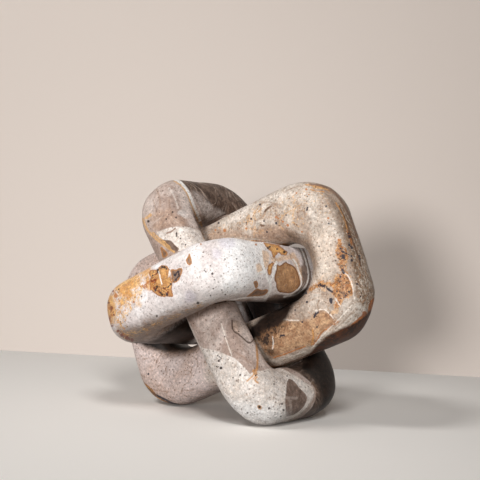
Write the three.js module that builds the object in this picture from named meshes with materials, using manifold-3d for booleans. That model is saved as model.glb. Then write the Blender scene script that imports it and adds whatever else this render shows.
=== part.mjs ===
// Marble knot: three closed stone links, each threaded through the hole of the next and joined to neither.
// Millimetres, +Z up. The origin is on the ground under the middle of the knot, and the front faces -Y.
// In a link's own axes, x runs along its length, y across it and z square to its two flat sides.
// The leaning link leans on the upright one, and the level link lies on the leaning one.

import * as THREE from 'three';
import { mergeVertices } from 'three/addons/utils/BufferGeometryUtils.js';
import Module from 'manifold-3d';

const wasm = await Module();
wasm.setup();

// Bars of each link: the thickness of its long bars and of its end bars, as seen on its flat side,
// and the depth from one flat side to the other
const leaningThickness = 51;
const leaningEndThickness = 45;
const leaningDepth = 51.5;
const uprightThickness = 42;
const uprightEndThickness = 46.5;
const uprightDepth = 48;
const levelThickness = 50;
const levelEndThickness = 50.5;
const levelDepth = 53.5;
const sectionPower = 2.6;

// How far the upright link's hole lies off the link's middle, towards its upper end
const uprightHoleShift = 2.5;

// Corners of each link, round its outside and round its hole
const leaningOuterRadius = 44.5;
const leaningHoleRadius = 22;
const uprightOuterRadius = 44.5;
const uprightHoleRadius = 9.5;
const levelOuterRadius = 42;
const levelHoleRadius = 6;

// Room left in each hole beside what passes through it, on each side and at each end
const leaningSideRoom = 0.7;
const leaningEndRoom = 6.5;
const uprightSideRoom = 2.1;
const uprightEndRoom = 3;
const levelSideRoom = 5;
const levelEndRoom = 3.9;
const restGap = 0.45;

// The share of a square bar's extra room that a bar with rounded sides takes up when it stands askew in a hole
const roundedShare = 0.5;

// How far the upright and the level link stand askew to the leaning one, in degrees about their own axes
const uprightTwist = -5.9;
const uprightNod = 10.4;
const uprightTurn = 3;
const levelNod = -0.9;
const levelTurn = -3.5;

// How far their middles lie from the leaning link's middle, along its length and square to its flat sides
const uprightAlong = -3.5;
const uprightOut = -0.5;
const levelAlong = -0.2;
const levelOut = 2.2;

// How the knot stands: its heading on the ground, a first tip and the depth that its feet are rubbed flat
const heading = -32.4;
const firstTip = 29;
const footDepth = 0.6;

// Fineness of the surface
const cornerSteps = 10;
const straightSteps = 4;
const sectionSteps = 24;
const levellingRounds = 12;

const leaning = {
  name: 'leaning_link',
  colour: 0xd9c3a2,
  thickness: leaningThickness,
  endThickness: leaningEndThickness,
  depth: leaningDepth,
  outerRadius: leaningOuterRadius,
  holeRadius: leaningHoleRadius,
  holeShift: 0,
};
const upright = {
  name: 'upright_link',
  colour: 0xb3a296,
  thickness: uprightThickness,
  endThickness: uprightEndThickness,
  depth: uprightDepth,
  outerRadius: uprightOuterRadius,
  holeRadius: uprightHoleRadius,
  holeShift: uprightHoleShift,
};
const level = {
  name: 'level_link',
  colour: 0xe6e0d8,
  thickness: levelThickness,
  endThickness: levelEndThickness,
  depth: levelDepth,
  outerRadius: levelOuterRadius,
  holeRadius: levelHoleRadius,
  holeShift: 0,
};

const radians = THREE.MathUtils.degToRad;

// What a bar that stands askew in a hole takes up of the hole beyond its own size
function askewRoom(depth, degrees) {
  return roundedShare * depth * Math.tan(radians(Math.abs(degrees)));
}

// Half the width of a link, to the middle of its long bars: its hole lets the other link's depth through
function halfWidth(link, passing, askew, room) {
  return (passing.depth + askewRoom(link.depth, askew) + link.thickness) / 2 + room;
}

// Half the length of a link, to the middle of its end bars: its hole spans the width of the other link
function halfLength(link, passing, askew, room) {
  const across = passing.thickness + askewRoom(link.depth, askew) + link.endThickness;
  return passing.halfWidth + across / 2 + room;
}

// The level link passes through the leaning one, the leaning through the upright, the upright through the level
function sizeLinks() {
  leaning.halfWidth = halfWidth(leaning, level, levelNod, leaningSideRoom);
  upright.halfWidth = halfWidth(upright, leaning, uprightTwist, uprightSideRoom);
  level.halfWidth = halfWidth(level, upright, uprightNod, levelSideRoom);
  leaning.halfLength = halfLength(leaning, level, levelTurn, leaningEndRoom);
  upright.halfLength = halfLength(upright, leaning, uprightNod, uprightEndRoom);
  level.halfLength = halfLength(level, upright, levelNod - uprightTurn, levelEndRoom);
}

// Each link is turned a third of a turn about the knot's diagonal from the one before it
function thirdTurn(count) {
  const diagonal = new THREE.Vector3(1, 1, 1).normalize();
  return new THREE.Quaternion().setFromAxisAngle(diagonal, (count * 2 * Math.PI) / 3);
}

function askew(twist, nod, turn) {
  const angles = new THREE.Euler(radians(twist), radians(nod), radians(turn), 'XYZ');
  return new THREE.Quaternion().setFromEuler(angles);
}

function turnLinks() {
  leaning.turn = thirdTurn(0);
  upright.turn = thirdTurn(1).multiply(askew(uprightTwist, uprightNod, uprightTurn));
  level.turn = thirdTurn(2).multiply(askew(0, levelNod, levelTurn));
}

// A bar of a link, with its middle, its direction and the directions of its thickness and depth
function placedBar(link, offset, along, thickness) {
  return {
    thickness,
    depth: link.depth,
    middle: offset.clone().applyQuaternion(link.turn).add(link.place),
    along: along.clone().applyQuaternion(link.turn),
    thick: offset.clone().normalize().applyQuaternion(link.turn),
    deep: new THREE.Vector3(0, 0, 1).applyQuaternion(link.turn),
  };
}

function longBar(link, side) {
  const offset = new THREE.Vector3(0, side * link.halfWidth, 0);
  return placedBar(link, offset, new THREE.Vector3(1, 0, 0), link.thickness);
}

function endBar(link, side) {
  const offset = new THREE.Vector3(side * link.halfLength + link.holeShift / 2, 0, 0);
  return placedBar(link, offset, new THREE.Vector3(0, 1, 0), link.endThickness - side * link.holeShift);
}

// How far a bar's rounded section reaches from its middle line in a direction square to the bar
function barReach(bar, direction) {
  const power = sectionPower / (sectionPower - 1);
  const inThickness = Math.abs((direction.dot(bar.thick) * bar.thickness) / 2) ** power;
  const inDepth = Math.abs((direction.dot(bar.deep) * bar.depth) / 2) ** power;
  return (inThickness + inDepth) ** (1 / power);
}

// The lift along +Y that brings the upper of two crossing bars to rest on the lower one
function liftToRest(upper, lower) {
  const square = new THREE.Vector3().crossVectors(upper.along, lower.along).normalize();
  if (square.y < 0) {
    square.negate();
  }
  const apart = upper.middle.clone().sub(lower.middle).dot(square);
  return (barReach(upper, square) + barReach(lower, square) + restGap - apart) / square.y;
}

function placeLinks() {
  leaning.place = new THREE.Vector3(0, 0, 0);
  upright.place = new THREE.Vector3(uprightAlong, 0, uprightOut);
  level.place = new THREE.Vector3(levelAlong, 0, levelOut);
  const lowerBar = longBar(leaning, -1);
  upright.place.y -= liftToRest(lowerBar, endBar(upright, -1));
  level.place.y += Math.max(liftToRest(longBar(level, 1), lowerBar), liftToRest(longBar(level, -1), lowerBar));
}

// One round of a link's outline, counter-clockwise: four corner arcs with straight stretches between them
function outline(length, width, radius) {
  const points = [];
  for (let corner = 0; corner < 4; corner += 1) {
    const signX = corner === 0 || corner === 3 ? 1 : -1;
    const signY = corner < 2 ? 1 : -1;
    for (let step = 0; step <= cornerSteps; step += 1) {
      const angle = ((corner + step / cornerSteps) * Math.PI) / 2;
      const x = signX * (length - radius) + radius * Math.cos(angle);
      const y = signY * (width - radius) + radius * Math.sin(angle);
      points.push(new THREE.Vector2(x, y));
    }
  }
  return points;
}

// The same round with points added along each straight stretch
function withStraights(points) {
  const all = [];
  points.forEach((point, index) => {
    all.push(point);
    const next = points[(index + 1) % points.length];
    const endsCorner = (index + 1) % (cornerSteps + 1) === 0;
    for (let step = 1; endsCorner && step < straightSteps; step += 1) {
      all.push(point.clone().lerp(next, step / straightSteps));
    }
  });
  return all;
}

function signedPower(value, power) {
  return Math.sign(value) * Math.abs(value) ** power;
}

// A closed ring: a rounded section, drawn between the outer outline and the hole's, all the way round
function linkGeometry(link) {
  const { halfLength: length, halfWidth: width } = link;
  const end = link.endThickness / 2;
  const side = link.thickness / 2;
  const outer = withStraights(outline(length + end, width + side, link.outerRadius));
  const inner = withStraights(outline(length - end, width - side, link.holeRadius));
  inner.forEach((point) => point.setX(point.x + link.holeShift));
  const positions = [];
  const indices = [];
  outer.forEach((outside, station) => {
    const middle = outside.clone().add(inner[station]).multiplyScalar(0.5);
    const reach = outside.clone().sub(middle);
    for (let step = 0; step < sectionSteps; step += 1) {
      const angle = (2 * Math.PI * step) / sectionSteps;
      const across = signedPower(Math.cos(angle), 2 / sectionPower);
      const up = signedPower(Math.sin(angle), 2 / sectionPower);
      positions.push(middle.x + reach.x * across, middle.y + reach.y * across, (up * link.depth) / 2);
      const here = station * sectionSteps + step;
      const round = station * sectionSteps + ((step + 1) % sectionSteps);
      const nextStation = ((station + 1) % outer.length) * sectionSteps;
      const ahead = nextStation + step;
      const aheadRound = nextStation + ((step + 1) % sectionSteps);
      indices.push(here, ahead, aheadRound, here, aheadRound, round);
    }
  });
  const geometry = new THREE.BufferGeometry();
  geometry.setAttribute('position', new THREE.Float32BufferAttribute(positions, 3));
  geometry.setIndex(indices);
  return geometry;
}

function linkMesh(link) {
  const material = new THREE.MeshStandardMaterial({ color: link.colour, roughness: 0.4, metalness: 0 });
  const mesh = new THREE.Mesh(linkGeometry(link), material);
  mesh.name = link.name;
  mesh.quaternion.copy(link.turn);
  mesh.position.copy(link.place);
  return mesh;
}

function worldPoints(mesh) {
  const position = mesh.geometry.getAttribute('position');
  const points = [];
  for (let index = 0; index < position.count; index += 1) {
    points.push(new THREE.Vector3().fromBufferAttribute(position, index).applyMatrix4(mesh.matrixWorld));
  }
  return points;
}

function lowest(points) {
  return points.reduce((low, point) => (point.z < low.z ? point : low));
}

// The three points the knot stands on: a corner of the leaning link and both corners of the upright's lower end
function standingPoints(knot, leaningMesh, uprightMesh) {
  knot.updateMatrixWorld(true);
  const uprightPoints = worldPoints(uprightMesh);
  const sides = uprightPoints.map((point) => uprightMesh.worldToLocal(point.clone()).y > 0);
  return [
    lowest(worldPoints(leaningMesh)),
    lowest(uprightPoints.filter((point, index) => sides[index])),
    lowest(uprightPoints.filter((point, index) => !sides[index])),
  ];
}

// Tips the knot over until its three standing points are level, then turns it to its heading
function standKnot(knot, leaningMesh, uprightMesh) {
  const up = new THREE.Vector3(0, 0, 1);
  const slope = radians(firstTip);
  const knotUp = new THREE.Vector3(Math.sin(slope), Math.cos(slope), 0);
  knot.quaternion.setFromUnitVectors(knotUp, up);
  for (let round = 0; round < levellingRounds; round += 1) {
    const [a, b, c] = standingPoints(knot, leaningMesh, uprightMesh);
    const normal = new THREE.Vector3().crossVectors(b.sub(a), c.sub(a)).normalize();
    if (normal.z < 0) {
      normal.negate();
    }
    knot.quaternion.premultiply(new THREE.Quaternion().setFromUnitVectors(normal, up));
  }
  const ahead = new THREE.Vector3(1, 0, 0).applyQuaternion(knot.quaternion);
  const spin = radians(heading) - Math.atan2(ahead.y, ahead.x);
  knot.quaternion.premultiply(new THREE.Quaternion().setFromAxisAngle(up, spin));
  knot.updateMatrixWorld(true);
}

// Sets the middle of the knot's box over the origin and its standing points a foot's depth into the ground
function centreKnot(knot) {
  const box = new THREE.Box3();
  knot.children.forEach((mesh) => box.expandByObject(mesh, true));
  const middle = box.getCenter(new THREE.Vector3());
  knot.position.set(-middle.x, -middle.y, -box.min.z - footDepth);
  knot.updateMatrixWorld(true);
}

function solidOf(geometry) {
  const bare = geometry.clone();
  bare.deleteAttribute('normal');
  bare.deleteAttribute('uv');
  const merged = mergeVertices(bare);
  const vertProperties = Float32Array.from(merged.getAttribute('position').array);
  const triVerts = Uint32Array.from(merged.index.array);
  return new wasm.Manifold(new wasm.Mesh({ numProp: 3, vertProperties, triVerts }));
}

function geometryOf(solid) {
  const { vertProperties, triVerts } = solid.getMesh();
  const geometry = new THREE.BufferGeometry();
  geometry.setAttribute('position', new THREE.Float32BufferAttribute(vertProperties, 3));
  geometry.setIndex(Array.from(triVerts));
  return geometry;
}

// Rubs a link flat where it reaches below the ground
function rubFlat(mesh) {
  const size = 4 * leaning.halfLength;
  const ground = new THREE.BoxGeometry(size, size, size);
  ground.translate(0, 0, -size / 2);
  ground.applyMatrix4(mesh.matrixWorld.clone().invert());
  mesh.geometry = geometryOf(solidOf(mesh.geometry).subtract(solidOf(ground)));
}

sizeLinks();
turnLinks();
placeLinks();

const leaningMesh = linkMesh(leaning);
const uprightMesh = linkMesh(upright);
const levelMesh = linkMesh(level);
const knot = new THREE.Group();
knot.add(leaningMesh, uprightMesh, levelMesh);
standKnot(knot, leaningMesh, uprightMesh);
centreKnot(knot);
rubFlat(leaningMesh);
rubFlat(uprightMesh);

export default knot;
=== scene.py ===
# Marble knot: three loose links of honed stone, each threaded through the hole of the next.
# Metres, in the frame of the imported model. Marks on the stone are measured in millimetres.
import math

import bpy
import numpy as np
from bpy.props import FloatProperty, FloatVectorProperty, PointerProperty
from mathutils import Matrix, Vector
from mathutils.bvhtree import BVHTree


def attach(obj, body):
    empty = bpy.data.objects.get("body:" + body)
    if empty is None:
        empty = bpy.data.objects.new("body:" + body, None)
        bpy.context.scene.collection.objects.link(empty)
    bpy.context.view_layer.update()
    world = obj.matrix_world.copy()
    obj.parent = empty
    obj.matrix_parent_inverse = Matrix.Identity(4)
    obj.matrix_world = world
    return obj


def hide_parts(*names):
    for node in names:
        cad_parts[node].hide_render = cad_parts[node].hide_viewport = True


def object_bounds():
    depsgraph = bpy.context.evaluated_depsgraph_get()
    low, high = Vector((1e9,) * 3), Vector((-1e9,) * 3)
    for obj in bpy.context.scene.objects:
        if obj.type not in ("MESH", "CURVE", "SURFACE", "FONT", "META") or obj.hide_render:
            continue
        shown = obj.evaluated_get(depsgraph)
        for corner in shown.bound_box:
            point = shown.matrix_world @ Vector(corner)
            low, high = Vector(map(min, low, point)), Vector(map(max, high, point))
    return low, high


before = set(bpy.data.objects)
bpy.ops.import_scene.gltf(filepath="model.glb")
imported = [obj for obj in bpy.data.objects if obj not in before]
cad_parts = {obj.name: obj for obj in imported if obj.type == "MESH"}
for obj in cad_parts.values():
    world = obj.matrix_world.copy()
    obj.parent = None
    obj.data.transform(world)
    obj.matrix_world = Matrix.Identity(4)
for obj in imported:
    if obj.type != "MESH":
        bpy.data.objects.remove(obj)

bl_info = {
    "name": "Marble Knot",
    "version": (1, 0, 0),
    "blender": (4, 5, 0),
    "location": "View3D > Sidebar > Knot",
    "description": "Three loose links of honed stone, threaded through one another",
    "category": "Object",
}

CAD_BOX = [list(corner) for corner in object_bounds()]
MM = 0.001

# The photo's frame, in pixels
PHOTO_SIZE = 480
PHOTO_MIDDLE = PHOTO_SIZE / 2
SENSOR_WIDTH = 36.0

# Steps of a link's mesh round its outline and round its section, and the gap that closes, in metres
OUTLINE_STEPS = 560
SECTION_STEPS = 168
SEAM_GAP = 1e-5

# How far past its edge a mark still counts, in millimetres, and how fast it fades where a side turns away
MARK_REACH = 14.0
BACK_FADE = 45.0

# A side may turn this far from the camera and still take a mark, and has to face it this much to be seen
TURNED_AWAY = -0.25
TURNED_TOWARDS = 0.05

# In metres: how far a ray starts above the surface, and further than a bar is thick, to leave its own bar
LIFT = 0.002
BAR_THROUGH = 0.062


def srgb(red, green, blue, covers=1.0):
    """A colour of the screen, 0 to 255, and how much it covers, as the linear colour of a shader."""
    parts = (red / 255, green / 255, blue / 255)
    return tuple(((part + 0.055) / 1.055) ** 2.4 for part in parts) + (covers,)


# Marks of the stone, in the photo's own pixels. A patch has its kind and its outline. A vein has its
# paint, its half width in millimetres and its line. Spots have their paint, and each its place and radius.

LEVEL_PATCHES = {
    "gold patch": ("ochre", [
        (150, 271), (153, 269.5), (157, 270), (159, 267), (162, 265), (166, 265.5), (169, 268.5),
        (170.5, 271), (170, 275), (171, 280), (172.5, 283.5), (171.5, 288), (172, 291), (173, 295),
        (172, 297), (168, 296.5), (163, 297), (158, 295.5), (154, 292.5), (150.5, 290), (150, 286),
        (149.5, 281), (150.5, 277), (149, 274),
    ]),
    "brown lobe": ("brown", [
        (170, 270), (172.5, 269), (176, 269.5), (179, 268), (182, 268.5), (182.5, 271), (181, 275),
        (179.5, 279), (177, 282), (174, 283), (171.5, 281.5), (171.5, 277), (171, 273),
    ]),
    "red streak in the gold": ("rust", [
        (151, 282), (154, 280.3), (157, 278.5), (157, 280.7), (154, 283),
    ]),
    "teardrop": ("brown", [
        (189.5, 253), (187.7, 257), (186, 260), (186.5, 262.5), (188.5, 265), (191, 265), (192, 262.5),
        (191.5, 259), (190.5, 256),
    ]),
    "gold dust at the left": ("gold_dust", [
        (101, 296), (108, 287), (120, 278), (135, 271), (150, 262), (158, 263), (150, 275), (148, 290),
        (140, 306), (130, 320), (128, 338), (112, 330), (103, 315),
    ]),
    "gold dust along the lower edge": ("gold_dust", [
        (110, 325), (130, 329), (150, 321), (172, 313), (190, 304), (206, 298), (208, 305), (192, 313),
        (173, 323), (152, 332), (130, 341), (116, 337),
    ]),
    # Brown stone on the bottom of the level link, darkened with painted shade
    "brown underside in painted shade": ("under", [
        (118, 331), (135, 326), (155, 318), (175, 311), (195, 306), (220, 300), (245, 297), (250, 302),
        (225, 308), (200, 313), (182, 321), (168, 331), (150, 341), (130, 343),
    ]),
    # Painted shade: near black, below the left end of the level link
    "painted shade in the hollow under the left end": ("deep", [
        (136, 343), (150, 340), (165, 332), (178, 323), (190, 315), (203, 309), (208, 316), (202, 330),
        (192, 342), (180, 347), (160, 347), (145, 348),
    ]),
    # Painted shade: near black, below the right end of the level link
    "painted shade in the hollow under the right end": ("deep", [
        (246, 302), (262, 300), (280, 299), (292, 295), (302, 289), (307, 290), (304, 296), (296, 304),
        (280, 314), (262, 326), (254, 326), (248, 314),
    ]),
    # Painted light: near white on the right part of the level link
    "bright right part": ("bright", [
        (222, 238), (240, 238), (262, 240), (262, 262), (256, 280), (244, 291), (228, 296), (220, 288),
        (224, 262),
    ]),
    "pale gold cloud": ("pale_ochre", [
        (114, 286), (119, 280), (127, 274), (137, 272), (139, 278), (138, 284), (134, 288), (130, 290),
        (134, 295), (129, 298), (123, 296.5), (119, 292.5), (115, 290),
    ]),
    "pale gold edge": ("pale_ochre", [
        (115, 284), (128, 275), (140, 268.5), (149, 264), (151, 268), (149, 276), (151, 284), (149, 291),
        (145, 284), (145, 276), (138, 275), (124, 281),
    ]),
    "gold fleck": ("pale_ochre", [(121, 299.5), (125.5, 300.5), (125.5, 304), (121, 304)]),
    "gold fleck beside it": ("pale_ochre", [(137.5, 300), (140.3, 303), (139.7, 306), (137.3, 305)]),
    "gold left tip": ("pale_ochre", [
        (99, 298), (106, 293), (112, 296), (114.5, 303), (115, 312), (113.5, 321), (108, 326), (101, 320),
        (98, 308),
    ]),
    "lilac patch": ("lilac", [(220, 238), (233, 238), (235, 245), (229, 249), (221, 247)]),
    "lower lilac patch": ("lilac", [(186, 292), (192, 291), (196, 297), (193, 302), (186, 301)]),
    "lilac cloud": ("lilac", [(213, 249), (221, 251), (220, 259), (213, 257)]),
    "gold patch at the right": ("gold", [
        (263.5, 241.8), (268, 243), (273, 244), (278, 244.5), (281, 247), (285, 250), (287.5, 252.5),
        (286, 255), (282, 255), (279, 253), (276.5, 255), (275, 257.5), (272.5, 256.5), (271.5, 252.5),
        (268, 249.5), (265.5, 246),
    ]),
    "gold strip": ("ochre", [(260, 238.6), (268, 238.6), (274, 240.6), (268, 241), (262, 240.6)]),
    "tan patch": ("tan", [
        (260, 250.5), (266, 251), (269, 254), (269.5, 260), (268, 266), (265, 268), (262, 262),
        (261, 256),
    ]),
    "small tan patch": ("tan", [
        (256.5, 265), (259.5, 263), (262, 268), (262.5, 272), (259, 274), (257, 270),
    ]),
    "tan ground at the right": ("tan", [
        (271, 257), (277, 258), (282, 256), (288, 255), (293, 252), (297, 257), (300, 266), (302, 278),
        (299, 288), (294, 262), (285, 260), (277, 263), (272, 262),
    ]),
    "gold bits": ("gold", [
        (268.5, 265), (272, 262.5), (274.5, 263.5), (272, 268), (271.3, 273), (269, 275.5), (267.5, 271),
    ]),
    "brown bit": ("brown", [(253.5, 282), (257, 281), (258.3, 285), (256, 288.5)]),
    "brown pool": ("brown", [
        (251, 293), (257, 288.5), (262, 290), (266.5, 289), (268, 292), (263, 295.5), (256, 296.3),
        (246, 297.3),
    ]),
    "smooth brown patch": ("smooth_brown", [
        (276, 264), (280, 265.5), (285, 262), (288, 263.5), (292, 265), (295.5, 268), (297.5, 272),
        (299.5, 279), (300, 285), (297, 290), (291, 293), (285, 293), (279, 292), (276.5, 288),
        (276, 283), (274.5, 280), (275, 274), (276.5, 269),
    ]),
    # Grey-brown stone at the end of the level link, darkened further with painted shade where it turns
    # into the hole
    "grey band at the right": ("band", [
        (292, 236), (300, 238), (306, 245), (311, 256), (314, 270), (312, 286), (303, 298), (286, 304),
        (262, 306), (268, 298), (277, 294), (290, 295), (299, 289), (301, 280), (299, 271), (303, 262),
        (299, 249),
    ]),
}
LEVEL_VEINS = {
    "main white vein": ("white", 1.0, [
        (260.8, 249), (261.5, 258), (263, 265), (264.7, 272), (267.5, 278), (270.3, 284), (270, 291),
        (266.5, 297), (263, 304),
    ]),
    "white vein at the brown patch": ("white", 0.9, [
        (276.5, 262), (274.8, 268), (273.3, 274), (271.3, 280),
    ]),
    "short white vein": ("white", 0.7, [(264.5, 271.7), (259, 273), (255, 278)]),
    "lower white vein": ("white", 0.5, [(228, 301), (243, 298), (257, 297), (267, 297.7)]),
    "curved white vein": ("white", 0.6, [
        (294, 240), (300, 247), (304.5, 257), (307.3, 267), (308.5, 277), (305, 287), (297, 294),
        (284, 297),
    ]),
    "inner curved white vein": ("white", 0.55, [
        (293, 259), (296.5, 264), (298.7, 271), (301, 278), (301.3, 284), (297.5, 290), (290.5, 294),
    ]),
    "white crack in the gold": ("white", 0.4, [(158.5, 271), (160, 277), (161.8, 284)]),
    "white crack beside it": ("white", 0.35, [(169.5, 271), (168.8, 277)]),
    "white rim of the right gold": ("white", 0.6, [(262, 241.2), (269, 242), (277, 242.8), (282, 245)]),
}
LEVEL_SPOTS = {
    "maroon spots": ("maroon", [
        (104, 292, 1.1), (107, 297, 1.2), (111, 308, 1.7), (105, 312, 1.1), (109, 319, 1.3),
        (107, 323, 1.1), (113, 291, 0.8), (103, 303, 0.8), (112, 326, 0.8), (122, 335, 1.5),
        (127, 338, 1.7), (132, 340, 1.5), (118, 331, 1.1), (109, 303, 0.8), (114, 315, 0.7),
        (152, 281, 1.0), (155, 279.5, 0.9), (156.5, 274, 0.7), (154, 288, 0.8), (159, 291, 0.8),
        (165, 289, 0.8), (168, 292, 0.8),
    ]),
    "blue specks in the gold": ("ink", [
        (162, 267, 0.9), (166.5, 269, 0.7), (157.5, 272.5, 0.6), (160.5, 292.5, 0.7), (170.8, 284, 0.7),
        (167, 294.5, 0.9), (163.5, 288, 0.6), (168.5, 287, 0.6), (155.5, 290.5, 0.6), (152.5, 275.5, 0.6),
        (178, 272, 0.9), (175, 275, 1.0), (179.5, 276, 0.7), (176, 280, 0.8), (270, 246.5, 0.7),
        (277, 249, 0.7),
    ]),
    "black spots": ("dark", [
        (212.3, 273.8, 0.95), (198, 303, 1.0), (236.5, 259, 0.55), (225, 259, 0.45), (214.5, 279.5, 0.5),
        (107.4, 298, 1.0), (107.5, 302.7, 0.8), (141.5, 296.5, 0.6), (158, 270, 0.9), (164.5, 267, 0.8),
        (268, 248, 0.9), (284.3, 252, 1.0), (156.8, 316, 0.8), (157, 286.5, 0.8), (162, 294.5, 0.8),
        (221.8, 290, 0.5), (225.5, 294.5, 0.5), (210.5, 295.5, 0.45), (118.7, 289.3, 0.6),
        (204.5, 270.5, 0.4), (206, 272, 0.4),
    ]),
    "rust spots": ("rust", [
        (115.7, 296, 1.7), (110, 308, 1.6), (110.2, 321, 1.1), (111.5, 315, 0.9), (116.5, 284.3, 0.9),
        (133.8, 302, 0.8), (143, 286, 0.7), (146, 284.5, 0.8), (148, 282, 0.8), (144.5, 288, 0.6),
        (147, 287, 0.5), (105.5, 311, 0.8), (106, 318, 0.7), (123.5, 334.5, 0.9), (119.5, 301, 0.6),
        (256, 244.5, 0.8), (200.8, 244, 0.6),
    ]),
}
UPRIGHT_PATCHES = {
    "cream upper patch": ("cream", [
        (157, 233), (160, 231), (165, 229), (172, 227.3), (180, 226.5), (188, 227), (196, 229.3),
        (203, 232), (206, 237), (209, 246), (200, 262), (180, 275), (170, 262), (178, 252), (176, 247),
        (171, 241.3), (165, 240), (160, 238),
    ]),
    "brown shard": ("dull_brown", [
        (160, 240.3), (166, 240), (171, 241), (175.5, 245.7), (179, 249.3), (174, 252.5), (170, 250),
        (164.5, 245),
    ]),
    "pale spot": ("white", [
        (177.5, 213), (180, 210.5), (184, 209.5), (187.5, 212), (189, 216), (186, 218), (181, 215.5),
    ]),
    "brown cloud under the pale spot": ("faint_brown", [
        (180, 216), (186, 218.5), (190, 217), (190, 220.5), (183, 221), (179, 219),
    ]),
    "brown cloud": ("faint_brown", [
        (150, 218), (160, 210), (170, 209), (178, 216), (186, 222), (182, 226), (168, 228), (158, 231),
        (152, 228),
    ]),
    "lower left stripes": ("brown", [(160.5, 247), (163, 248), (168, 254.5), (163, 258), (161.5, 253)]),
    "cream lower patch": ("cream", [
        (196, 345.3), (204, 348), (212, 349.5), (220, 352), (227, 355), (232, 357), (238, 361),
        (243, 366), (247, 370.5), (250, 374), (253, 372), (258, 371), (263, 370.5), (268, 368.5),
        (274, 367), (282, 368.5), (289, 372), (297, 377), (306, 383), (312, 387), (314.5, 393),
        (312, 401), (305, 411), (293, 420), (280, 428), (262, 431), (238, 428), (210, 405), (185, 355),
    ]),
    "brown patch": ("dull_brown", [
        (288.5, 379), (291, 379.5), (295, 382.5), (299, 387.5), (303, 391.5), (306, 395), (307, 399),
        (304.5, 405), (300, 410.5), (295, 414), (289, 416), (285.7, 415), (285.5, 407), (285.3, 398),
        (286.3, 392), (286.5, 385),
    ]),
    # The dark side of the upper end: darker stone, darkened further with painted shade
    "dark upper side": ("dark_stone_and_shade", [
        (178, 178), (184, 184), (190, 191), (195, 199), (199, 207), (203, 216), (206, 228), (216, 232),
        (240, 222), (262, 206), (256, 188), (230, 178), (205, 174), (185, 174),
    ]),
    # The dark side of the lower end: darker stone, darkened further with painted shade
    "dark lower side": ("dark_stone_and_shade", [
        (286, 366), (297, 372), (305, 377.5), (311, 383), (315.5, 390), (315.5, 398), (312.5, 406),
        (307, 412.5), (299, 418), (290, 422), (286, 428), (305, 430), (330, 420), (345, 400), (345, 370),
        (330, 350), (305, 350), (290, 358),
    ]),
    # Painted shade: near black on the bar seen in the gap behind the level link
    "painted shade in the hollow behind": ("deep", [
        (246, 301), (262, 298), (280, 294), (294, 290), (302, 288), (300, 298), (290, 308), (276, 318),
        (264, 328), (256, 328), (250, 316),
    ]),
    # Painted light: paler taupe where light falls on the edge of the upper end
    "pale edge of the upper end": ("pale_taupe", [
        (177, 189), (184, 189), (190, 197), (196, 210), (200, 226), (192, 227), (186, 214), (180, 200),
    ]),
    # Painted light: paler taupe on the right side of the lower end
    "pale right side of the lower end": ("pale_taupe", [
        (238, 318), (246, 318), (254, 332), (266, 350), (274, 364), (262, 368), (252, 356), (242, 338),
    ]),
    # Painted light: near white on the bottom of the lower end
    "pale bottom": ("bright", [
        (222, 398), (236, 402), (256, 404), (276, 408), (286, 417), (276, 424), (252, 424), (232, 414),
    ]),
    # Painted shade: near black on the side of the lower end turned from the light
    "painted shade on the lower side": ("deep", [
        (302, 368), (312, 378), (319, 388), (321, 400), (316, 411), (306, 419), (296, 425), (320, 422),
        (345, 400), (345, 370), (330, 352), (310, 352),
    ]),
    "bottom brown mark": ("dull_brown", [
        (256, 417.8), (262, 418.8), (268, 420.7), (269, 422.3), (262, 421.8), (257.5, 420),
    ]),
    "tan oval": ("pale_tan", [
        (233, 322), (237, 320.5), (242, 322), (247, 328), (252, 335), (255, 338), (253, 342),
        (250, 341.5), (245, 336), (239, 333), (234.5, 330), (233, 326),
    ]),
    "ash beside the cream vein": ("ash", [
        (193, 192), (200, 195), (207, 201), (214, 208), (224, 213), (217, 219), (206, 225), (203, 216),
        (199, 206),
    ]),
}
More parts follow.
